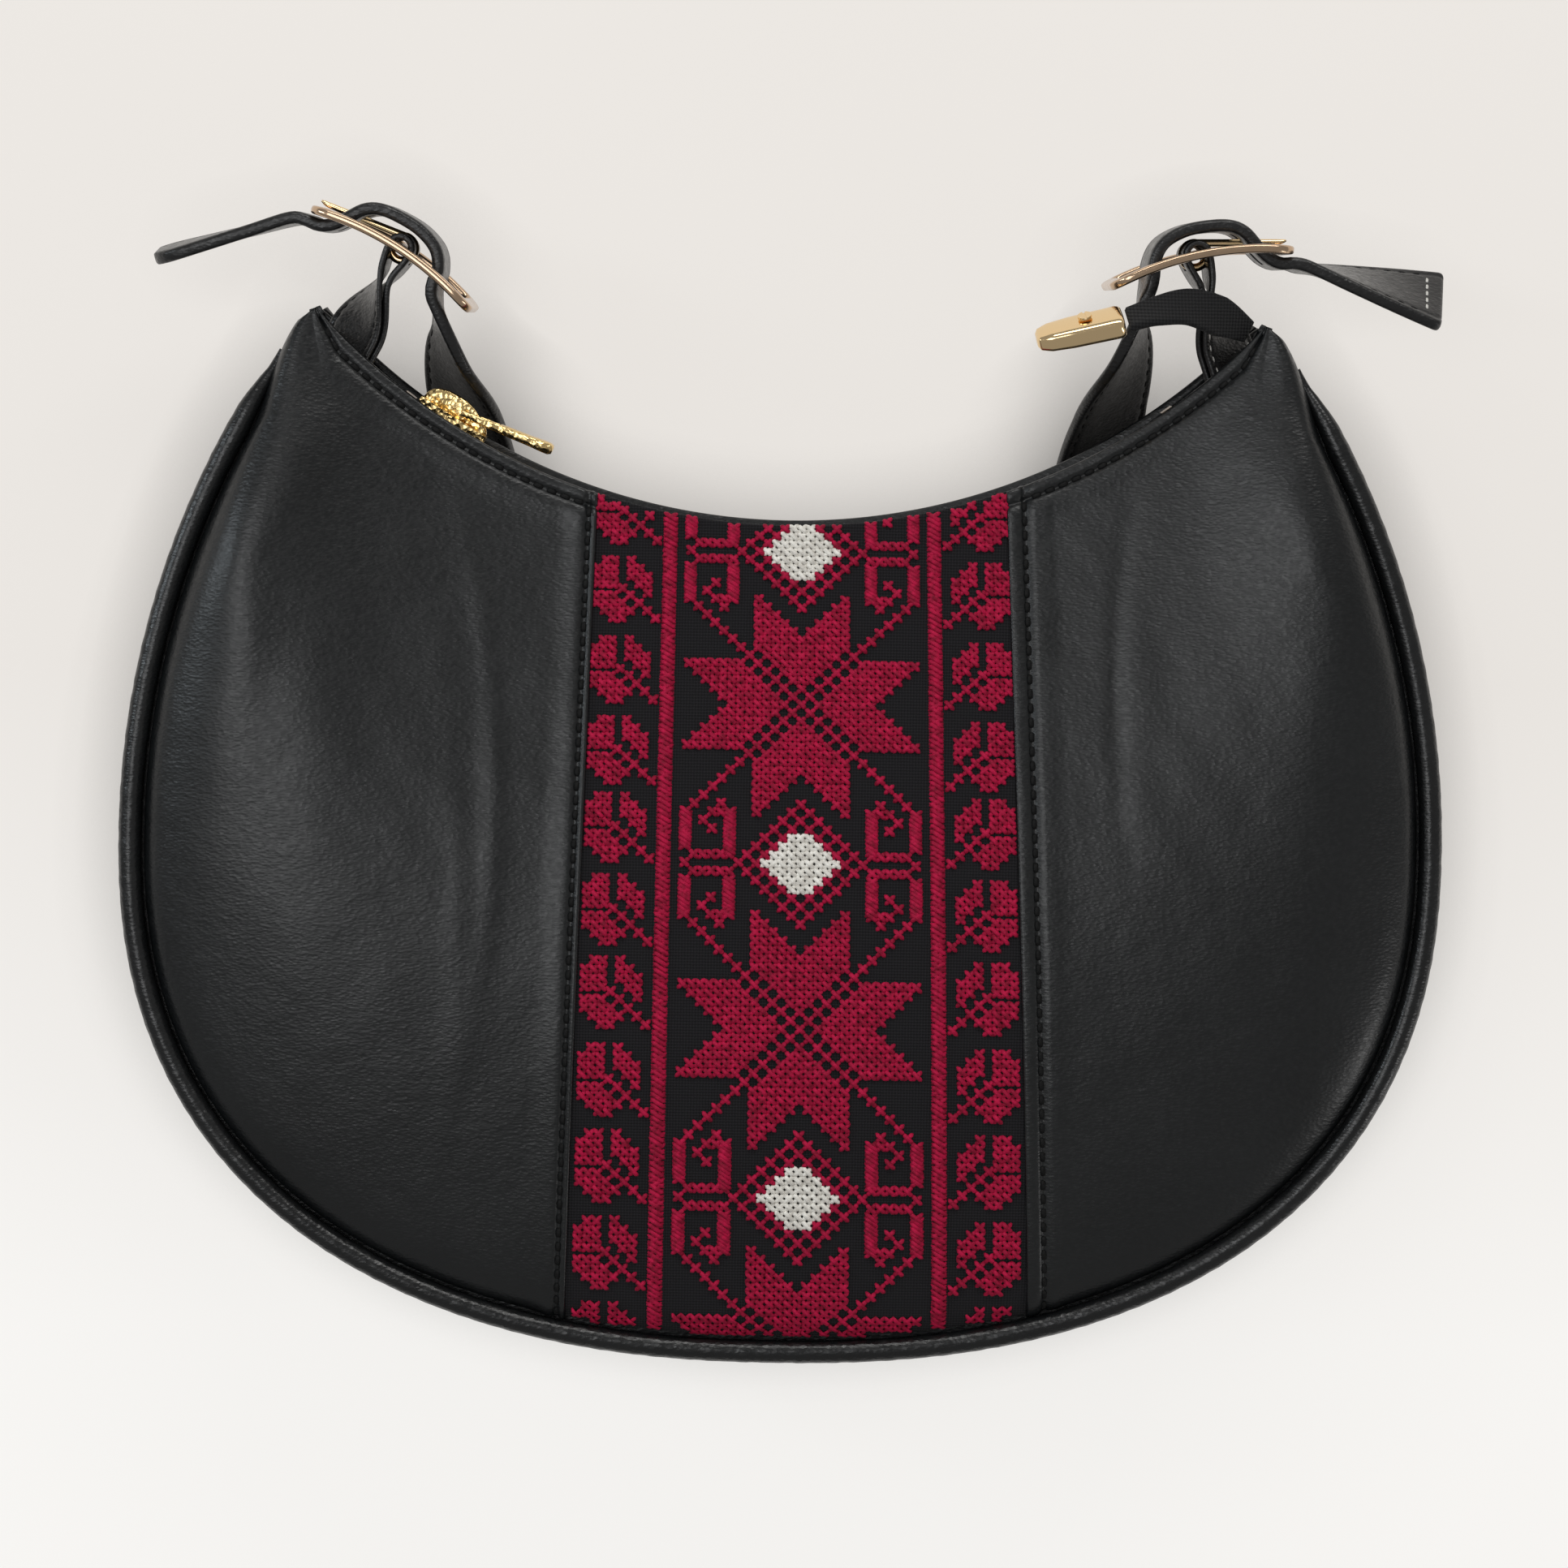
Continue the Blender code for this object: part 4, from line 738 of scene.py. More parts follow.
def build_side_panel(m, side, word):
    grid, from_top, from_bottom, from_seam, from_tip = side_grid(side, True, *FRONT_SIDE_GRID)
    seam_line = SEAM_OVERLAP + (LEFT_STITCH if side < 0 else RIGHT_STITCH)
    height = groove(from_top, TOP_STITCH) + groove(from_seam, seam_line)
    height += SEAM_PAD * (1 - smooth(from_seam / SEAM_PAD_REACH))
    fade = smooth((from_top - CREASE_START) / CREASE_FADE_IN) * smooth(from_bottom / CREASE_FADE_OUT)
    height += creases(grid, side) * fade
    grid = grid + grid_normals(grid, UP) * height[..., None]
    normals = grid_normals(grid, UP)
    border = np.minimum(np.minimum(from_top, from_bottom), np.minimum(from_seam, from_tip + 0.2 * MM))
    panel = rounded_sheet("side_panel_" + word, grid, normals, LEATHER, border, m["leather"])
    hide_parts("front_panel_" + word)
    column = border_point(TOP_STITCH)
    row = border_point(seam_line)
    down, along = np.s_[row, column:-4], np.s_[row:-8, column]
    lines = [(grid[along], normals[along]), (grid[down], normals[down])]
    stitches("topstitch_" + word, lines, *FRONT_TOPSTITCH, m["black"])


def centre_grid(front, columns, middle):
    angle, share = centre_rib(np.linspace(-1, 1, columns))
    rib = rib_length(angle, share)
    t, _ = rib_stations(rib, NEAR_BORDER, NEAR_PIPING, middle)
    grid = panel_point(angle[:, None], share[:, None], t, front)
    return grid, t * rib[:, None], (1 - t) * rib[:, None]


def build_cloth(m):
    grid, from_top, from_bottom = centre_grid(True, *CLOTH_GRID)
    normals = grid_normals(grid, UP)
    border = np.minimum(from_top, from_bottom)
    grid = grid - normals * CLOTH_SUNK
    cloth = rounded_sheet("embroidered_cloth", grid, normals, CLOTH_THICKNESS, border, m["cloth"])
    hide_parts("embroidered_panel")


# cross-stitch

FIRST_ROW = -17
LAST_ROW = 93
DIAMOND_ROWS = (0, 38, 76)
STAR_ROWS = (19, 57, 95)
SPRIG_TOPS = (-8.4, 1.4, 11.4, 21.2, 30.4, 40.0, 49.5, 59.4, 69.1, 78.9, 88.7)
# From the top edge to the middle of the first diamond, the pitch of the rows there, and how much
# it grows from row to row towards the bottom
FIRST_DIAMOND = 5.74 * MM
ROW_PITCH = 1.671 * MM
ROW_GROWTH = 0.00165 * MM
# Columns from the middle of the cloth to its seams at the top, one more at the bottom
HALF_COLUMNS = 24.5
SPRIG_COLUMN = 16.0
BORDER_COLUMN = 15.45
BORDER_WIDE = 1.5
BORDER_PITCH = 0.64
BAR_WIDE = 1.3
# How far a stitch reaches in columns and rows, and its thread's sizes
STITCH_REACH = 0.55
STITCH_THREAD = (0.98 * MM, 0.55 * MM)
THREAD_SHARES = np.array((0.0, 0.16, 0.5, 0.84, 1.0))
THREAD_RISE = MM * np.array((-0.10, 0.22, 0.34, 0.22, -0.10))
SECOND_THREAD_LIFT = 0.20 * MM
# Stitches nearer than this to the top edge and to the piping are left out
BARE_TOP = 0.5 * MM
BARE_BOTTOM = 1.0 * MM
# Each row of a sprig: how many rows below its top, and its stitches from the seam to the border
SPRIG_ROWS = (
    (0.0, ".xx.x..."),
    (1.0, "xxx.xx.."),
    (2.0, "xxx.xxx."),
    (3.0, "xxx..xx."),
    (3.5, "...x...."),
    (4.1, "......x."),
    (4.4, "xxx.x..."),
    (5.35, "xxxx.x.."),
    (6.3, ".xxxx.x."),
    (7.25, "..xx...x"),
)


def diamond_stitch(c, q):
    """Colour of the stitch c columns and q rows from a diamond's centre, or nothing."""
    c, q = abs(c), abs(q)
    if c + q <= 4 and q <= 3:
        return "white"
    ring = c + q in (5, 7)
    bar = q == 1 and 8 <= c <= 12
    end = (c == 13 and q == 0) or (c == 13 and 2 <= q <= 6)
    hook = (c == 8 and 2 <= q <= 6) or (q == 6 and c in (9, 10))
    spur = (c, q) in ((9, 7), (11, 5), (10, 4))
    return "red" if ring or bar or end or hook or spur else None


def star_stitch(c, p):
    c, p = abs(c), abs(p)
    arms = (p <= 5 and 2 + p <= c <= 8 + p) or (c <= 5 and 2 + c <= p <= 8 + c)
    return "red" if arms or (c == p and c <= 12) else None


def stitch_chart():
    """The panel's stitches: colour and width in columns at each (column, row)."""
    found = {}
    for side in (-1, 1):
        for r in np.arange(FIRST_ROW, LAST_ROW, BORDER_PITCH):
            found[side * BORDER_COLUMN, float(r)] = ("red", BORDER_WIDE)
        for top in SPRIG_TOPS:
            for below, marks in SPRIG_ROWS:
                for place, mark in enumerate(marks):
                    if mark == "x":
                        found[side * (SPRIG_COLUMN + len(marks) - place), top + below] = ("red", 1.0)
    for centre in STAR_ROWS:
        for c in range(-14, 15):
            for p in range(-14, 15):
                if star_stitch(c, p):
                    found[c, centre + p] = ("red", 1.0)
    for centre in DIAMOND_ROWS:
        for c in range(-14, 15):
            for q in range(-9, 10):
                color = diamond_stitch(c, q)
                upright = abs(c) in (8, 13) and 2 <= abs(q) <= 6
                if color:
                    found[c, centre + q] = (color, BAR_WIDE if upright else 1.0)
                if upright and diamond_stitch(c, q + 1) and q != 6:
                    found[c, centre + q + 0.5] = (color, BAR_WIDE)
    return found


def row_heights():
    """Height in the picture plane of each row of stitches, as an interpolation table."""
    rib = panel_point(*centre_rib(0.0), np.linspace(0, 1, 400), True)
    rows = np.arange(float(FIRST_ROW), 100.0)
    along = FIRST_DIAMOND + ROW_PITCH * rows + ROW_GROWTH * rows**2
    above = np.minimum(along, 0.0)
    return rows, np.interp(along, lengths_along(rib), rib[:, 1]) - above


def cloth_place(c, r, table):
    """Places on the cloth of the stitch corners at columns c and rows r."""
    y = np.interp(r, *table)
    t = np.full_like(y, 0.5)
    for _ in range(4):
        rib = centre_rib(np.clip(c / (HALF_COLUMNS + t), -1, 1))
        ay = arc_point(rib[0])[1]
        ry = rim_point(rib[1], CLEARANCE + 2 * PIPING_RADIUS)[1]
        t = (y - ay) / (ry - ay)
    return panel_point(*rib, np.clip(t, 0, 1), True), t, ay - ry


def cross_paths(cells, table):
    """Two crossing threads for each stitch, the second over the first."""
    cells = np.array(cells, float)
    middle, t, rib = cloth_place(cells[:, 0], cells[:, 1], table)
    kept = (t * rib > BARE_TOP) & ((1 - t) * rib > BARE_BOTTOM)
    cells, middle = cells[kept], middle[kept]
    corner = {}
    for a in (-1, 1):
        column = cells[:, 0] + a * STITCH_REACH * cells[:, 2]
        for b in (-1, 1):
            corner[a, b] = cloth_place(column, cells[:, 1] + b * STITCH_REACH, table)[0]
    normal = unit(np.cross(corner[1, -1] - corner[-1, 1], corner[-1, -1] - corner[1, 1]))
    normal *= np.sign(normal[:, 2:])
    random = np.random.default_rng(7)
    paths = []
    for first, last, lift in ((-1, 1), (1, -1), 0.0), ((-1, -1), (1, 1), SECOND_THREAD_LIFT):
        a, b = corner[first], corner[last]
        path = a[:, None] + (b - a)[:, None] * THREAD_SHARES[:, None]
        height = THREAD_RISE + np.array([0, lift, lift, lift, 0])
        wobble = 1 + 0.15 * random.standard_normal((len(a), 1))
        path = path + normal[:, None] * (height * wobble - CLOTH_SUNK)[..., None]
        path = path + 0.05 * MM * random.standard_normal((len(a), 1, 3))
        paths.append(path)
    return np.concatenate(paths), np.repeat(np.concatenate([normal, normal])[:, None], 5, axis=1)


def build_embroidery(m):
    table = row_heights()
    chart = stitch_chart()
    for color in ("red", "white"):
        cells = sorted((c, r, wide) for (c, r), (kind, wide) in chart.items() if kind == color)
        paths, normals = cross_paths(cells, table)
        piece = threads("cross_stitch_" + color, paths, normals, *STITCH_THREAD, m[color])


# back, sides, edges and lining

def build_back(m):
    """The back panel in three spans that share their ribs, as one sheet."""
    skip = border_point(SEAM_OVERLAP) + 1
    spans = (
        [part[:skip - 1:-1] for part in side_grid(-1, False, *BACK_GRID)[:3]],
        [part[1:-1] for part in centre_grid(False, *BACK_GRID)],
        [part[skip:] for part in side_grid(1, False, *BACK_GRID)[:3]],
    )
    grid, from_top, from_bottom = (np.concatenate([span[k] for span in spans]) for k in range(3))
    normals = grid_normals(grid, -UP)
    rest = smooth((grid[..., 2] - 1 * MM) / (6 * MM))
    grid = grid + normals * (groove(from_top, TOP_STITCH) * rest)[..., None]
    border = np.minimum(np.minimum(from_top, from_bottom), LEATHER)
    border[[0, -1]] = 0.0
    panel = rounded_sheet("back_leather", grid, normals, LEATHER, border, m["leather"])
    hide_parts("back_panel")
    column = border_point(TOP_STITCH)
    line = (grid[6:-6, column], normals[6:-6, column])
    stitches("topstitch_back", [line], *BACK_TOPSTITCH, m["black"])


def inner_sheet(name, node, slot, rib, t, front, depth, thickness, material):
    """A sheet inside the body along a panel, over the given ribs and shares of them."""
    angle, share = rib
    grid = panel_point(angle[:, None], share[:, None], t[None], front)
    normals = grid_normals(grid, UP if front else -UP)
    grid = grid - normals * depth
    border = np.minimum(t - t[0], t[-1] - t) * rib_length(angle, share)[:, None]
    piece = rounded_sheet(name, grid, normals, thickness, border, material)
    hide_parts(node)


def build_facings(m):
    """Leather strips inside the opening, under the panels' folded edges."""
    rib = whole_rib(np.linspace(-1, 1, 220))
    sizes = (LEATHER + 0.3 * MM, FACING_THICKNESS, m["leather"])
    for word, front in (("front", True), ("back", False)):
        name = "facing_" + word
        inner_sheet(name, "top_" + name, "black_leather", rib, np.linspace(0, 0.10, 14), front, *sizes)


def gusset_sheet(share, inset, lower, turned_in):
    """Points, normals and distances to the border of a sheet round the sides and the bottom."""
    share = share[:, None]
    across = np.sort(np.append(np.linspace(-1, 1, 25), (-GUSSET_TURN_SHARE, GUSSET_TURN_SHARE)))[None]
    half = gusset_half(share) - PIPING_RADIUS - CLEARANCE - lower
    half = half - (SEAM_BELOW_PIPING - CLEARANCE) * (1 - piping_share(share))
    turn = np.clip((np.abs(across) - GUSSET_TURN_SHARE) / (1 - GUSSET_TURN_SHARE), 0, 1)
    turn = turned_in * turn * smooth((1 - np.abs(share)) / 0.12)
    x, y = rim_point(share + 0 * across, inset + GUSSET_BULGE * across**2 + turn)
    grid = np.stack([x, y, MID_Z + half * across], axis=-1)
    away = grid - np.array((0.0, -0.02, MID_Z))
    normals = grid_normals(grid, UP)
    normals = np.where(np.sum(normals * away, axis=-1, keepdims=True) < 0, -normals, normals)
    ripple = 2 * RIPPLE * np.sin(share * 190) * np.sin(across * 3 + share * 40)
    return grid + normals * (ripple * (1 - across**2))[..., None], normals, (1 - np.abs(across)) * half


def build_gusset(m):
    share = np.linspace(-1, 1, 420)
    grid, normals, border = gusset_sheet(share, GUSSET_INSET, -GUSSET_UNDER_PIPING, GUSSET_TURNED_IN)
    piece = rounded_sheet("gusset_leather", grid, normals, LEATHER, border, m["leather"])
    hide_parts("gusset")


def build_piping(m):
    end = 1 - PIPING_END_FROM_TIP / HALF_LENGTH
    share = np.linspace(-end, end, 520)
    tuck = 1 - smooth((end - np.abs(share)) * HALF_LENGTH / PIPING_TUCK)
    radius = PIPING_RADIUS * piping_share(share)
    x, y = rim_point(share, radius + TUCK_IN * tuck)
    half = gusset_half(share) - TUCK_UNDER * tuck
    radius = np.maximum(radius, THINNEST_CORD) + CORD_SWELL
    radius = radius * (1 + 0.025 * np.sin(share * 420) * np.sin(share * 97))
    for word, side in (("front", 1), ("back", -1)):
        centre = np.stack([x, y, MID_Z + side * half], axis=-1)
        along = unit(np.gradient(centre, axis=0))
        out = unit(np.cross(along, UP))
        rings = tube(centre, out, np.cross(out, along), radius)
        piece = add_parts(word + "_piping_cord", [(rings, False)], m["piping"])
        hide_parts(word + "_piping")


def build_lining(m):
    t = np.linspace(0.12, 0.94, 60)
    under = LEATHER + LINING_GAP
    whole = whole_rib(np.linspace(-1, 1, 90)[3:-3])
    sizes = (LINING_THICKNESS, m["lining"])
    behind_cloth = under + CLOTH_THICKNESS
    inner_sheet("lining_front_cloth", "lining_front", "lining_cloth", whole, t, True, behind_cloth, *sizes)
    inner_sheet("lining_back_cloth", "lining_back", "lining_cloth", whole, t, False, under, *sizes)
    centre = centre_rib(np.linspace(-0.99, 0.99, 50))
    sizes = (LINING_THICKNESS, m["felt"])
    inner_sheet("stiffener_sheet", "embroidery_stiffener", "stiffener", centre, t, True, under, *sizes)
    grid, normals, border = gusset_sheet(np.linspace(-0.95, 0.95, 160), GUSSET_INSET + under, 2.0 * MM, 0.0)
    piece = rounded_sheet("lining_gusset_cloth", grid, normals, LINING_THICKNESS, border, m["lining"])
    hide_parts("lining_gusset")


# strap, tabs and buckles

STRAP_EDGE = 0.9 * MM
STRAP_SEAM = 1.9 * MM
STRAP_CORNERS = (7.0 * MM, 1.6 * MM)
STRAP_STITCHES = (3.1 * MM, 0.55 * MM)
STRAP_END_STITCHES = (2.6 * MM, 0.60 * MM)
TAB_STITCHES = (2.4 * MM, 0.5 * MM)
# Distances from a strip's edge at which it gets points, and its dent along the stitches
FROM_EDGE = MM * np.array((1.2, 1.6, 1.9, 2.2, 2.6, 3.2))
SEAM_DENT = 0.18 * MM
SEAM_DENT_WIDTH = 0.45 * MM
THREAD_SUNK = 0.36 * MM
TAB_EDGE = 0.5 * MM
TAB_SEAM = 1.6 * MM
BUCKLE_CORNER = 3.2 * MM


class Buckle:
    """The place of one buckle: u runs outwards along its frame and v out of the bag."""

    def __init__(self, side, from_tip, lean):
        self.side = side
        self.bar = np.array((side * (TIP_X + from_tip[0]), TIP_Y + from_tip[1], MID_Z))
        self.u = np.array((side * math.cos(lean), math.sin(lean), 0.0))
        self.v = np.array((-side * math.sin(lean), math.cos(lean), 0.0))

    def place(self, u, v, z=0.0):
        u, v, z = (np.asarray(value, float)[..., None] for value in (u, v, z))
        return self.bar + self.u * u + self.v * v + UP * z


def bow_radius():
    return (BUCKLE_HALF_LENGTH**2 + BUCKLE_BOW**2) / (2 * BUCKLE_BOW)


def bow_drop(u):
    return bow_radius() - np.sqrt(bow_radius() ** 2 - u**2)


def prong_rest():
    """Where the prong's tip lies on the outer bar, as u and v from the centre bar."""
    reach = BUCKLE_HALF_LENGTH - BUCKLE_END_BAR / 2
    rest = -bow_drop(reach) + BUCKLE_THICKNESS / 2 + PRONG_RADIUS * PRONG_TIP_SHARE
    return reach, float(rest)


def strap_route(buckle, tail_from_tip, tail_tilt):
    """Centre points and tilts of one end of the strap, from the tail's tip to the loop's hinge."""
    tip = np.array((buckle.side * (TIP_X + tail_from_tip[0]), TIP_Y + tail_from_tip[1], MID_Z))
    length = BUCKLE_HALF_LENGTH
    under = -BUCKLE_BOW - STRAP_UNDER_BAR
    hump = [buckle.place(length * a, under * b) for a, b in HUMP_UNDER_SHARES]
    hump += [buckle.place(length * a, STRAP_RISE * b) for a, b in HUMP_OVER_SHARES]
    tail = [mix(tip, hump[0], share) for share in TAIL_REST_SHARES]
    tilts = [mix(tail_tilt, math.pi / 2, share) for share in TAIL_REST_SHARES]
    tilts += [math.pi / 2] * len(hump)
    start = buckle.place(length * LEG_START_SHARES[0], STRAP_RISE * LEG_START_SHARES[1])
    flat_z = STRAP_THICKNESS / 2
    end = np.array((buckle.side * LOOP_HALF_SPREAD, LOOP_HINGE_Y + flat_z + CLEARANCE, flat_z))
    legs = [start + (end - start) * np.array(shares) for shares in LEG_WAY_SHARES]
    legs += [end + np.array((0.0, STRAP_THICKNESS, 0.0)), end]
    tilts += [math.radians(a) for a in LEG_TILT_DEGREES]
    rows = curve_through([(*p, tilt) for p, tilt in zip(tail + hump + legs, tilts)], 9)
    rows[:, 2] = np.maximum(rows[:, 2], flat_z)
    return rows


def strap_rows(left, right):
    """The whole strap, from the left tail round behind the bag to the right tail."""
    first = strap_route(left, LEFT_TAIL_FROM_TIP, LEFT_TAIL_TILT)
    last = strap_route(right, RIGHT_TAIL_FROM_TIP, RIGHT_TAIL_TILT)[::-1].copy()
    for rows in (first, last):
        rows[:, 3] = math.pi - rows[:, 3]
    turn = np.linspace(math.pi, 0, 90)
    start_y = LOOP_HINGE_Y - STRAP_THICKNESS
    x = LOOP_HALF_SPREAD * np.cos(turn)
    y = start_y - (start_y - LOOP_BOTTOM_Y) * np.sin(turn)
    loop = np.stack([x, y, 0 * x + STRAP_THICKNESS / 2, 0 * x], axis=1)
    rows = np.concatenate([first, loop, last])
    along = lengths_along(rows[:, :3])
    near = np.array((0.0, 0.1, 0.3, 0.6, 1.0, 1.5, 2.1, 2.8)) * MM
    even = np.arange(3.6 * MM, along[-1] - 3.6 * MM, 0.9 * MM)
    return at_lengths(np.concatenate([near, even, (along[-1] - near)[::-1]]), along, rows)


def ribbon_frames(rows):
    """Centre points, ways across and outer normals of a ribbon whose tilt of 90 degrees is on edge."""
    points = rows[:, :3]
    along = unit(np.gradient(points, axis=0))
    flat = unit(np.stack([-along[:, 1], along[:, 0], 0 * along[:, 0]], axis=1))
    tilt = rows[:, 3:4]
    across = np.cos(tilt) * flat + np.sin(tilt) * UP
    across = unit(across - along * np.sum(along * across, axis=1, keepdims=True))
    return points, across, np.cross(along, across)


def corner(from_end, radius):
    """How far a rounded corner cuts in from the edge, at a distance from the end."""
    short = np.clip(radius - from_end, 0, radius)
    return radius - np.sqrt(radius**2 - short**2)


def ribbon(name, frames, width, thickness, radius, material, body="bag", **extra):
    """A strip with rolled edges. holes are pairs of rows, hole_width their width, seam how far in
    from the edges its stitches pull it down, and corners the radii at its two ends."""
    points, across, normals = frames
    half = width / 2
    holes = extra.get("holes", ())
    near = [*(radius * (1 - np.cos(np.linspace(0, math.pi / 2, 5)))), half * 0.6, *FROM_EDGE]
    if holes:
        near.append(half - extra["hole_width"] / 2)
    near = np.array(sorted(d for d in near if d < half - 0.1 * MM))
    a = np.concatenate([near - half, [] if holes else [0.0], (half - near)[::-1]])
    from_edge = half - np.abs(a)
    lift = thickness / 2 - corner(from_edge, radius)
    if "seam" in extra:
        lift = lift - SEAM_DENT * bell(from_edge - extra["seam"], SEAM_DENT_WIDTH)
    along = lengths_along(points)
    sink = corner(np.minimum(along, along[-1] - along), radius)
    height = np.maximum(lift[None] - sink[:, None], 0.06 * MM)
    first, last = extra.get("corners", (0.0, 0.0))
    cut = corner(along, first) + corner(along[-1] - along, last)
    share = (1 - cut / half) * extra.get("shares", 1.0)
    centre = points[:, None] + across[:, None] * (a[None] * share[:, None])[..., None]
    outer = centre + normals[:, None] * height[..., None]
    inner = centre - normals[:, None] * height[..., None]
    cells = {(i, len(near) - 1) for rows in holes for i in range(*rows)}
    return shell(name, outer, inner, material, body, cells)


def edge_lines(frames, width, thickness, seam, rows, faces=(1, -1)):
    """Lines along both edges of a ribbon on the faces asked for, with the way out of each."""
    points, across, normals = (part[rows] for part in frames)
    lines = []
    for face in faces:
        for edge in (1, -1):
            aside = across * edge * (width / 2 - seam)
            lines.append((points + aside + normals * face * (thickness / 2 - THREAD_SUNK), face * normals))
    return lines


def stitches(name, lines, pitch, width, material, body="bag"):
    parts = [stitch_paths(points, normals, pitch) for points, normals in lines]
    paths, normals = (np.concatenate([part[k] for part in parts]) for k in range(2))
    return threads(name, paths, normals, width, width * 0.75, material, body)


def hole_rows(buckle, rows, pick):
    """First and last row of the hole that the prong comes through."""
    local = rows[:, :3] - buckle.bar
    u = local @ buckle.u
    v = local @ buckle.v
    reach, rest = prong_rest()
    apart = v - (RING_RADIUS + (rest - RING_RADIUS) * u / reach)
    crossing = np.nonzero((u[:-1] > 0) & (u[:-1] < reach) & (apart[:-1] * apart[1:] <= 0))[0]
    at = int(crossing[pick])
    along = lengths_along(rows[:, :3])
    middle = mix(along[at], along[at + 1], apart[at] / (apart[at] - apart[at + 1]))
    first = np.searchsorted(along, middle - HOLE_LENGTH / 2) - 1
    last = np.searchsorted(along, middle + HOLE_LENGTH / 2)
    return int(first), int(last)


def build_strap(m, left, right):
    """One strap from tail to tail, whose loop runs round behind the bag."""
    rows = strap_rows(left, right)
    frames = ribbon_frames(rows)
    strap = ribbon(
        "strap", frames, STRAP_WIDTH, STRAP_THICKNESS, STRAP_EDGE, m["strap"], None,
        holes=(hole_rows(left, rows, 0), hole_rows(right, rows, -1)), hole_width=HOLE_WIDTH,
        seam=STRAP_SEAM, corners=STRAP_CORNERS,
    )
    lines = edge_lines(frames, STRAP_WIDTH, STRAP_THICKNESS, STRAP_SEAM, slice(12, -8))
    thread = stitches("strap_stitches", lines, *STRAP_STITCHES, m["black"], None)
    point, across, normal = (part[-9] for part in frames)
    aside = np.linspace(-0.5, 0.5, 20)[:, None] * (STRAP_WIDTH - 2 * STRAP_SEAM) * across
    lines = []
    for out in (-normal, normal):
        lines.append((point + aside + out * (STRAP_THICKNESS / 2 - 0.1 * MM), out + 0 * aside))
    end_thread = stitches("strap_end_stitches", lines, *STRAP_END_STITCHES, m["pale"])
    for piece in (strap, thread):
        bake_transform(piece)
    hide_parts("strap_end_left", "strap_end_right", "strap_loop")


def tab_frames(buckle):
    """The tab from its root up to the centre bar, round it and back."""
    root = np.array((buckle.side * (TIP_X + TAB_ROOT_FROM_TIP[0]), TIP_Y + TAB_ROOT_FROM_TIP[1], MID_Z))
    way = unit(root - buckle.bar)
    side = np.array((way[1], -way[0], 0.0)) * buckle.side
    layer = (TAB_LEATHER + TAB_LAYER_GAP) / 2
    reach = float(np.linalg.norm(root - buckle.bar)) + TAB_INSIDE
    turn_from, turn_to = TAB_TURN_SHARES
    share = np.linspace(1.0, 0.03, 40)[:, None]
    apart = mix(TAB_LOOP_RADIUS, layer, smooth(share / TAB_CLOSED_SHARE))
    turn = mix(math.pi / 2, TAB_ROOT_TILT, smooth((share - turn_from) / (turn_to - turn_from)))
    across = np.cos(turn) * side + np.sin(turn) * UP
    normal = np.cross(way, across)
    near = buckle.bar + way * share * reach + normal * apart
    far = buckle.bar + way * share * reach - normal * apart
    angle = np.linspace(0, math.pi, 25)[:, None]
    first = np.cross(way, UP)
    out = first * np.cos(angle) - way * np.sin(angle)
    points = np.concatenate([near, buckle.bar + out * TAB_LOOP_RADIUS, far[::-1]])
    normals = np.concatenate([normal, out, -normal[::-1]])
    return points, np.concatenate([across, UP + 0 * out, across[::-1]]), normals


def build_tab(m, buckle, word):
    frames = tab_frames(buckle)
    from_bar = np.linalg.norm(frames[0] - buckle.bar, axis=1)
    open_rows = np.nonzero(from_bar < TAB_SLOT)[0]
    piece = ribbon(
        "tab_strip_" + word, frames, TAB_WIDTH, TAB_LEATHER, TAB_EDGE, m["strap"],
        holes=((int(open_rows[0]), int(open_rows[-1])),), hole_width=TAB_SLOT, seam=TAB_SEAM,
    )
    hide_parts("tab_" + word)
    lines = []
    for rows in (slice(2, 30), slice(-30, -2)):
        lines += edge_lines(frames, TAB_WIDTH, TAB_LEATHER, TAB_SEAM, rows, (1,))
    color = m["pale"] if buckle.side > 0 else m["black"]
    thread = stitches("tab_stitches_" + word, lines, *TAB_STITCHES, color)


def rounded_ring(across, up, width, height, count=20):
    """Offsets round a bar with softened edges."""
    turn = full_turn(count)
    a = np.sign(np.cos(turn)) * np.abs(np.cos(turn)) ** 0.55 * width / 2
    b = np.sign(np.sin(turn)) * np.abs(np.sin(turn)) ** 0.55 * height / 2
    return across[..., None, :] * a[:, None] + up[..., None, :] * b[:, None]


def flat_ring(width, height, count):
    return rounded_ring(np.array((1.0, 0.0)), np.array((0.0, 1.0)), width, height, count).T


def rounded_rectangle(half_length, half_width, radius, spacing=0.6 * MM):
    points = []
    for a, b, first in ((1, 1, 0), (-1, 1, 1), (-1, -1, 2), (1, -1, 3)):
        angle = math.pi / 2 * (first + np.linspace(0, 1, 12))
        x = a * (half_length - radius) + radius * np.cos(angle)
        y = b * (half_width - radius) + radius * np.sin(angle)
        points.append(np.stack([x, y], axis=1))
    points = np.concatenate(points + [points[0][:1]])
    along = lengths_along(points)
    return at_lengths(np.linspace(0, along[-1], round(along[-1] / spacing) + 1), along, points)[:-1]


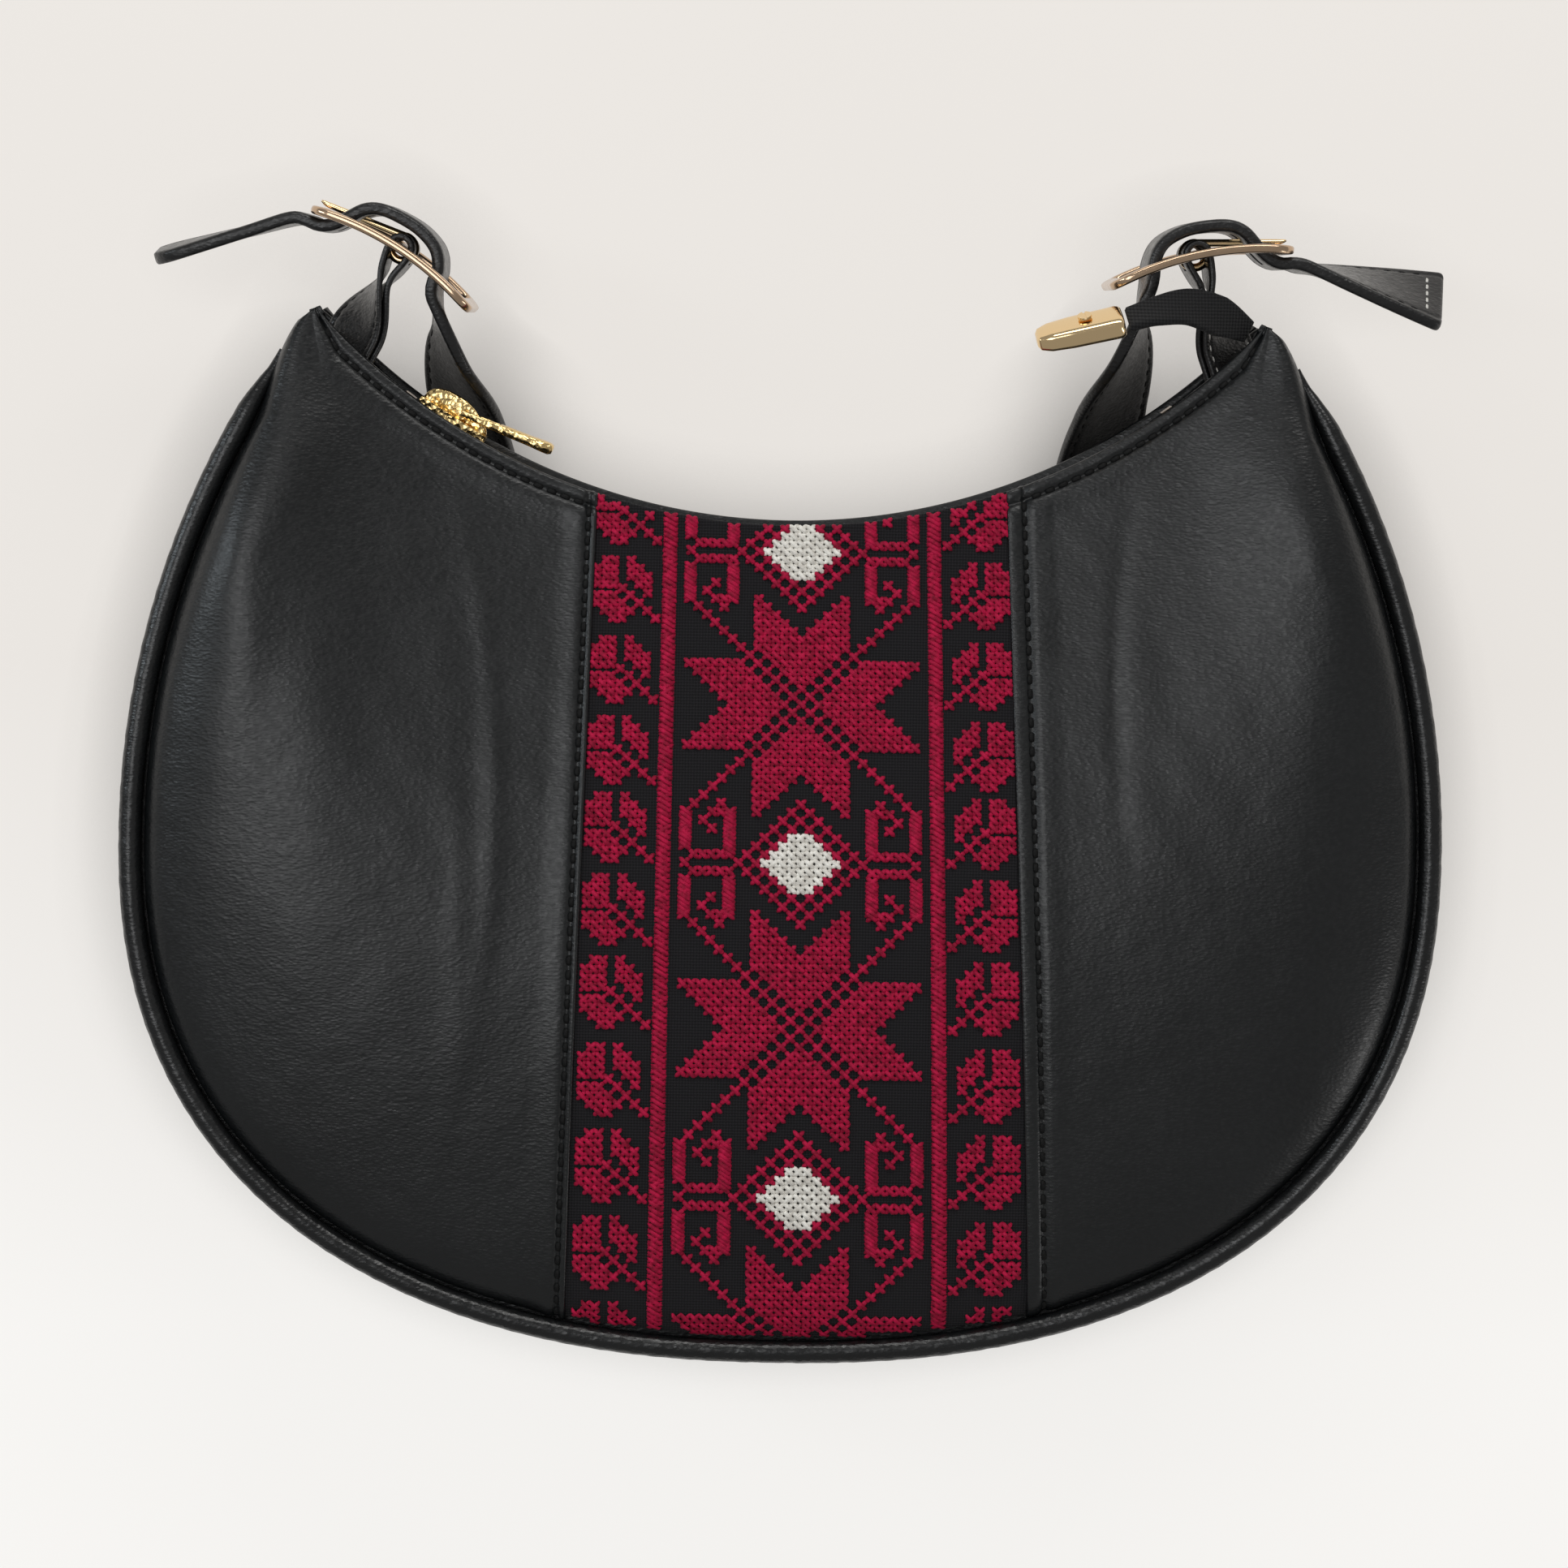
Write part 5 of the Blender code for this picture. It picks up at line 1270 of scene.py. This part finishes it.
def build_buckle_frame(m, buckle, word):
    """A bowed frame of rounded bar with its centre bar."""
    rail = (BUCKLE_RAIL + BUCKLE_END_BAR) / 2
    outline = rounded_rectangle(BUCKLE_HALF_LENGTH - rail / 2, BUCKLE_HALF_WIDTH - rail / 2, BUCKLE_CORNER)
    u, z = outline.T
    points = buckle.place(u, -bow_drop(u), z)
    lean = np.arcsin(u / bow_radius())[:, None]
    up = buckle.u * np.sin(lean) + buckle.v * np.cos(lean)
    along = unit(np.roll(points, -1, axis=0) - np.roll(points, 1, axis=0))
    across = unit(np.cross(up, along))
    loop = points[:, None] + rounded_ring(across, up, rail, BUCKLE_THICKNESS)
    bar_z = np.linspace(-1, 1, 5) * (BUCKLE_HALF_WIDTH - BUCKLE_RAIL * 0.8)
    bar = buckle.place(0 * bar_z, 0 * bar_z, bar_z)
    rod = bar[:, None] + rounded_ring(buckle.u, buckle.v, BUCKLE_BAR, BUCKLE_THICKNESS)
    piece = add_parts("buckle_" + word, [(loop, True), (rod, False)], m["antique"])
    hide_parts("buckle_frame_" + word)


def build_prong(m, buckle, word):
    """A pin curled round the centre bar, whose thinner end lies on the outer bar."""
    reach, rest = prong_rest()
    rest += CLEARANCE
    last = math.pi / 2 + math.atan2(rest - RING_RADIUS, reach)
    angle = np.linspace(math.radians(330), last, 40)
    u = RING_RADIUS * np.cos(angle)
    v = RING_RADIUS * np.sin(angle)
    share = np.linspace(0, 1, 40)[1:]
    shaft_u = mix(u[-1], reach + BUCKLE_END_BAR / 2, share)
    shaft_v = mix(v[-1], rest, np.minimum(shaft_u / reach, 1.0))
    radius = PRONG_RADIUS * np.append(np.ones(40), mix(1.0, PRONG_TIP_SHARE, share))
    radius[-4:] *= np.array((0.95, 0.85, 0.65, 0.35))
    radius[:2] *= np.array((0.5, 0.85))
    points = buckle.place(np.append(u, shaft_u), np.append(v, shaft_v))
    along = unit(np.gradient(points, axis=0))
    upright = UP + 0 * along
    rings = tube(points, upright, np.cross(upright, along), radius)
    piece = add_parts("prong_pin_" + word, [(rings, False)], m["gold"], "prong_" + word)
    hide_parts("buckle_prong_" + word)


# zip

TOOTH_PITCH = 2.5 * MM
TOOTH_WIDTH = 1.5 * MM
# Along a tooth from its head to the tape: share of its length and of its size
TOOTH_SHAPE = ((0.0, 0.70), (0.12, 0.92), (0.5, 1.0), (0.8, 1.0), (0.93, 0.88), (1.0, 0.6))
# The cord woven into the tape beside the teeth: height, distance from the tape's edge and width
TAPE_CORD = (0.25 * MM, 0.9 * MM, 0.5 * MM)
SLIDER_TOP = TOOTH_ABOVE + SLIDER_RUN_GAP + SLIDER_PLATE
# How far the slider's worked body stands over its bridge and sinks into its plate
BODY_OVER = 0.5 * MM
BODY_SUNK = 0.4 * MM
PULL_WINDOW = SLIDER_LENGTH / 2
# Along the pull's worked end: place, share of the full width, and thickness in mm
PULL_STATIONS = (
    (PULL_WINDOW, 0.70, 1.6), (PULL_WINDOW + 0.4 * MM, 0.85, 2.0), (PULL_LENGTH * 0.55, 0.88, 2.2),
    (PULL_LENGTH * 0.75, 0.95, 2.3), (PULL_LENGTH * 0.90, 1.0, 2.6), (PULL_LENGTH * 0.96, 0.93, 2.6),
    (PULL_LENGTH - 0.1 * MM, 0.75, 1.9), (PULL_LENGTH, 0.6, 1.0),
)
TAIL_EDGE = 0.7 * MM


def build_zip_tapes(m):
    angle = np.linspace(-ZIP_HALF_ANGLE, ZIP_HALF_ANGLE, 240)[:, None]
    z = np.linspace(0, 1, 14)[None]
    tall, off, wide = TAPE_CORD
    for word, side in (("front", 1), ("back", -1)):
        height = mix(TAPE_INNER_Z - 0.2 * MM, TAPE_OUTER_Z, z)
        bead = tall * bell(height - TAPE_INNER_Z - off, wide)
        x, y = arc_point(angle, ZIP_RADIUS + 0 * z - bead)
        grid = np.stack(np.broadcast_arrays(x, y, MID_Z + side * height), axis=-1)
        normals = np.stack(np.broadcast_arrays(-np.sin(angle), np.cos(angle), 0 * height), axis=-1)
        border = np.minimum(z, 1 - z) * (TAPE_OUTER_Z - TAPE_INNER_Z) + 0 * angle
        piece = rounded_sheet("tape_" + word, grid, normals, TAPE_THICKNESS, border, m["tape"])
        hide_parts("zip_tape_" + word)


def build_zip_teeth(m):
    """Single teeth clamped on the tapes, those of one row between those of the other."""
    pitch = TOOTH_PITCH / ZIP_RADIUS
    count = int(2 * ZIP_HALF_ANGLE / pitch) - 1
    above = TOOTH_ABOVE / 3
    for word, side in (("front", 1), ("back", -1)):
        parts = []
        for i in range(count):
            angle = (i - (count - 1) / 2 + side * 0.25) * pitch
            way = np.array((math.cos(angle), math.sin(angle), 0.0))
            out = np.array((-math.sin(angle), math.cos(angle), 0.0))
            x, y = arc_point(angle, ZIP_RADIUS + (TOOTH_BELOW - above) / 2)
            rings = []
            for share, size in TOOTH_SHAPE:
                z = MID_Z + side * mix(TOOTH_INNER_Z, TOOTH_OUTER_Z, share)
                width = TOOTH_WIDTH * size * (0.85 if share < 0.4 else 1.0)
                ring = rounded_ring(way, out, width, (above + TOOTH_BELOW) * size, 12)
                rings.append(np.array((x, y, z)) + ring)
            parts.append((np.array(rings), False))
        piece = add_parts("teeth_" + word, parts, m["teeth"])
        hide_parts("zip_teeth_" + word)


def slider_place(along, up, z):
    """Places in the slider's own axes: along the chain, up out of the bag and across it."""
    along, up, z = np.broadcast_arrays(along, up, z)
    cos, sin = math.cos(SLIDER_ANGLE), math.sin(SLIDER_ANGLE)
    x = cos * along - sin * (up - ZIP_RADIUS)
    y = sin * along + cos * (up - ZIP_RADIUS) + TOP_ARC_CENTRE_Y
    return np.stack([x, y, MID_Z + z], axis=-1)


def build_slider(m):
    """The worked body under the slider's bridge, as wide as the bridge, so the pull's arms pass it."""
    share = np.sin(np.linspace(-math.pi / 2, math.pi / 2, 44))[:, None]
    tall = (BRIDGE_HEIGHT + BODY_OVER) * (1 - np.abs(share) ** 3.2) ** 0.5
    tall = tall * (1 - 0.42 * smooth(share * 1.1)) + BODY_OVER
    width = BRIDGE_WIDTH * (1.0 + 0.12 * np.cos(share * 9)) * (1 - 0.45 * np.abs(share) ** 6)
    a, b = flat_ring(1.0, 1.0, 24)
    rings = slider_place(SLIDER_LENGTH * 0.485 * share, SLIDER_TOP - BODY_SUNK + tall * (0.5 + b), width * a)
    piece = add_parts("slider_bridge_body", [(rings, False)], m["worked"], "zip_slide")


def build_puller(m):
    """The pull: a bar through the bridge, an arm on each side of it and a worked end."""
    pivot_along = SLIDER_LENGTH / 2 * PULL_PIVOT_SHARE
    pivot_up = SLIDER_TOP + PULL_THICKNESS / math.sqrt(2) + CLEARANCE
    cos, sin = math.cos(PULL_REST_ANGLE), math.sin(PULL_REST_ANGLE)

    def bar(stations, lengthwise=True):
        """Rings through (along, z, width, thickness) stations."""
        rings = []
        for along, z, width, thickness in stations:
            a, b = flat_ring(width, thickness, 16)
            along, z = (along + 0 * a, z + a) if lengthwise else (along + a, z + 0 * a)
            up = pivot_up + sin * along + cos * b
            rings.append(slider_place(pivot_along + cos * along - sin * b, up, z))
        return np.array(rings), False

    arm_z = BRIDGE_WIDTH / 2 + CLEARANCE + PULL_ARM / 2
    parts = []
    for z in (-arm_z, arm_z):
        arm = [(s * PULL_WINDOW * 1.15, z, PULL_ARM, PULL_THICKNESS) for s in (-0.06, 0.0, 0.5, 1.0)]
        parts.append(bar(arm))
    ends = [(0.0, s * (arm_z + PULL_ARM / 3), PULL_THICKNESS, PULL_THICKNESS) for s in (-1, 0, 1)]
    parts.append(bar(ends, False))
    body = [(along, 0.0, 2 * PULL_HALF_WIDTH * wide, thick * MM) for along, wide, thick in PULL_STATIONS]
    parts.append(bar(body))
    piece = add_parts("pull_tag", parts, m["worked"], "zip_pull")
    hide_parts("zip_puller")


def build_tail(m):
    """The tape's tail, folded forward at the right tip, with its metal cap."""
    start = np.array((
        TIP_X + TAIL_PIVOT_FROM_TIP[0],
        TIP_Y + TAIL_PIVOT_FROM_TIP[1],
        MID_Z + TAPE_OUTER_Z - TAIL_THICKNESS / 2 - CLEARANCE,
    ))
    sizes = np.array((-TAIL_RUN, TAIL_ARCH, TAIL_RISE))
    points = curve_through(start + sizes * np.array(TAIL_ROUTE_SHARES), 14)
    share = np.linspace(0, 1, len(points))
    rows = np.concatenate([points, CAP_TILT * smooth(share)[:, None]], axis=1)
    widths = mix(TAIL_FOLD_WIDTH_SHARE, 1.0, np.minimum(share * 4, 1.0))
    tape = ribbon(
        "tail_tape", ribbon_frames(rows), TAIL_WIDTH, TAIL_THICKNESS, TAIL_EDGE, m["tape"], "zip_tail",
        shares=widths,
    )
    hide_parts("zip_tail_tape")
    way = np.array((-math.cos(CAP_SLOPE), -math.sin(CAP_SLOPE), 0.0))
    flat = np.array((-way[1], way[0], 0.0))
    across = math.cos(CAP_TILT) * flat + math.sin(CAP_TILT) * UP
    out = np.cross(way, across)
    mouth = points[-1] + way * TAIL_THICKNESS / 2
    build_cap(m, mouth, way, across, out)


def build_cap(m, mouth, way, across, out):
    along = np.concatenate([(0.0, 0.02, 0.06, 0.12), np.linspace(0.2, 0.9, 15), np.linspace(0.92, 1.0, 9)])
    size = np.interp(along, *np.array(CAP_OUTLINE_SHARES).T)
    size[:2] *= (0.90, 0.97)
    centre = mouth + way * CAP_LENGTH * along[:, None]
    rings = centre[:, None] + rounded_ring(across, out, CAP_WIDTH, CAP_DEPTH, 32) * size[:, None, None]
    cap = add_parts("tail_cap", [(rings, False)], m["gold"], "zip_tail")
    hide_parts("zip_end_cap")


# camera, floor and lights

CAMERA_PLACE = (-0.00857, 0.10017, 0.87392)
CAMERA_AIM = (0.00042, -0.00023, 0.040)
CAMERA_ROLL = math.radians(1.155)
CAMERA_LENS = 90.49
# Name, place, size, power and colour of each light, which looks at LIGHT_AIM
AREA_LIGHTS = (
    ("overhead", (-0.34, 0.18, 1.10), (0.50, 0.55), 2.8, (0.98, 0.99, 1.0)),
    ("key", (0.20, 1.12, 0.72), (1.1, 0.30), 6.5, (1.0, 0.99, 0.97)),
    ("left_strip", (-0.85, 0.30, 0.50), (0.12, 0.5), 1.6, (0.85, 0.94, 1.0)),
    ("right_strip", (0.85, -0.40, 0.36), (0.10, 0.4), 0.8, (1.0, 0.99, 0.98)),
)
LIGHT_AIM = (0.0, 0.0, 0.02)
WORLD_COLOR = (1.0, 0.99, 0.98, 1.0)
WORLD_STRENGTH = 0.34
# Colours of the ground below the bag and above it, where in y they meet, its own share of brightness,
# and how far the painted shadow that dims its glow along the bag's foot reaches
FLOOR_NEAR = (0.99, 0.975, 0.95)
FLOOR_FAR = (0.870, 0.835, 0.795)
FLOOR_BLEND = (-0.13, 0.02)
FLOOR_GLOW = 0.80
PAINTED_SHADOW_REACH = 0.026


def add_camera():
    place = Vector(CAMERA_PLACE)
    back = (place - Vector(CAMERA_AIM)).normalized()
    right = Vector((0, 1, 0)).cross(back).normalized()
    up = back.cross(right)
    cos, sin = math.cos(CAMERA_ROLL), math.sin(CAMERA_ROLL)
    turned_right = right * cos + up * sin
    turned_up = up * cos - right * sin
    matrix = Matrix((turned_right, turned_up, back)).transposed().to_4x4()
    matrix.translation = place
    camera = bpy.data.cameras.new("camera")
    camera.lens = CAMERA_LENS
    camera.sensor_width = 36.0
    camera.clip_start = 0.05
    obj = add_object("camera", camera)
    obj.matrix_world = matrix
    bpy.context.scene.camera = obj


def add_area(name, place, size, power, color):
    light = bpy.data.lights.new(name, "AREA")
    light.shape = "RECTANGLE"
    light.size, light.size_y = size
    light.energy = power
    light.color = color
    obj = add_object(name, light)
    obj.location = place
    obj.rotation_euler = (Vector(LIGHT_AIM) - Vector(place)).to_track_quat("-Z", "Y").to_euler()


def floor_material():
    """Pale ground: partly bright by itself to the camera and in reflections, with a painted shadow against
    the bag where ambient occlusion dims its glow.
    """
    m = Nodes("pale_ground", FLOOR_FAR, 0.9)
    height = m.add("SeparateXYZ", {"Vector": m.place}).outputs["Y"]
    m.colors(m.spread(height, *FLOOR_BLEND, 0.0, 1.0), (0.0, FLOOR_NEAR), (1.0, FLOOR_FAR))
    seen = m.add("LightPath").outputs
    plain = m.math("ADD", seen["Is Camera Ray"], seen["Is Glossy Ray"])
    # Ambient occlusion near the bag dims the glow below: a painted contact shadow along the bag's foot
    near = m.add("AmbientOcclusion", {"Distance": PAINTED_SHADOW_REACH}).outputs["AO"]
    color = m.shader.inputs["Base Color"].links[0].from_socket
    glow = m.add("Emission", {"Color": color, "Strength": m.spread(near, 0.35, 1.0, 0.25, 1.0)})
    parts = {"Fac": m.math("MULTIPLY", plain, FLOOR_GLOW), 1: m.shader.outputs[0], 2: glow.outputs[0]}
    m.put(m.tree.nodes["Material Output"], {"Surface": m.add("MixShader", parts).outputs[0]})
    return m.material


def add_surroundings():
    bm = bmesh.new()
    bmesh.ops.create_grid(bm, x_segments=8, y_segments=8, size=3.0)
    mesh = bpy.data.meshes.new("ground")
    bm.to_mesh(mesh)
    bm.free()
    mesh.materials.append(floor_material())
    ground = add_object("ground", mesh)
    ground.location = (0, 0, -0.3 * MM)
    world = bpy.data.worlds.new("soft_light")
    world.use_nodes = True
    background = world.node_tree.nodes["Background"]
    background.inputs["Color"].default_value = WORLD_COLOR
    background.inputs["Strength"].default_value = WORLD_STRENGTH
    bpy.context.scene.world = world
    for light in AREA_LIGHTS:
        add_area(*light)
    bpy.context.scene.view_settings.view_transform = "Standard"


def main():
    m = make_materials()
    add_camera()
    add_surroundings()
    build_side_panel(m, -1, "left")
    build_side_panel(m, 1, "right")
    for build in (
        build_cloth, build_embroidery, build_back, build_facings, build_gusset, build_piping, build_lining,
        build_zip_tapes, build_zip_teeth, build_slider, build_puller, build_tail,
    ):
        build(m)
    left = Buckle(-1, LEFT_BAR_FROM_TIP, LEFT_LEAN)
    right = Buckle(1, RIGHT_BAR_FROM_TIP, RIGHT_LEAN)
    for buckle, word in ((left, "left"), (right, "right")):
        build_buckle_frame(m, buckle, word)
        build_prong(m, buckle, word)
        build_tab(m, buckle, word)
    build_strap(m, left, right)
    for name, key in (
        ("zip_stop_left", "antique"), ("zip_stop_right", "antique"), ("zip_slider", "worked"),
        ("zip_end_cap_screw", "gold"),
    ):
        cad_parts[name].data.materials[0] = m[key]


main()
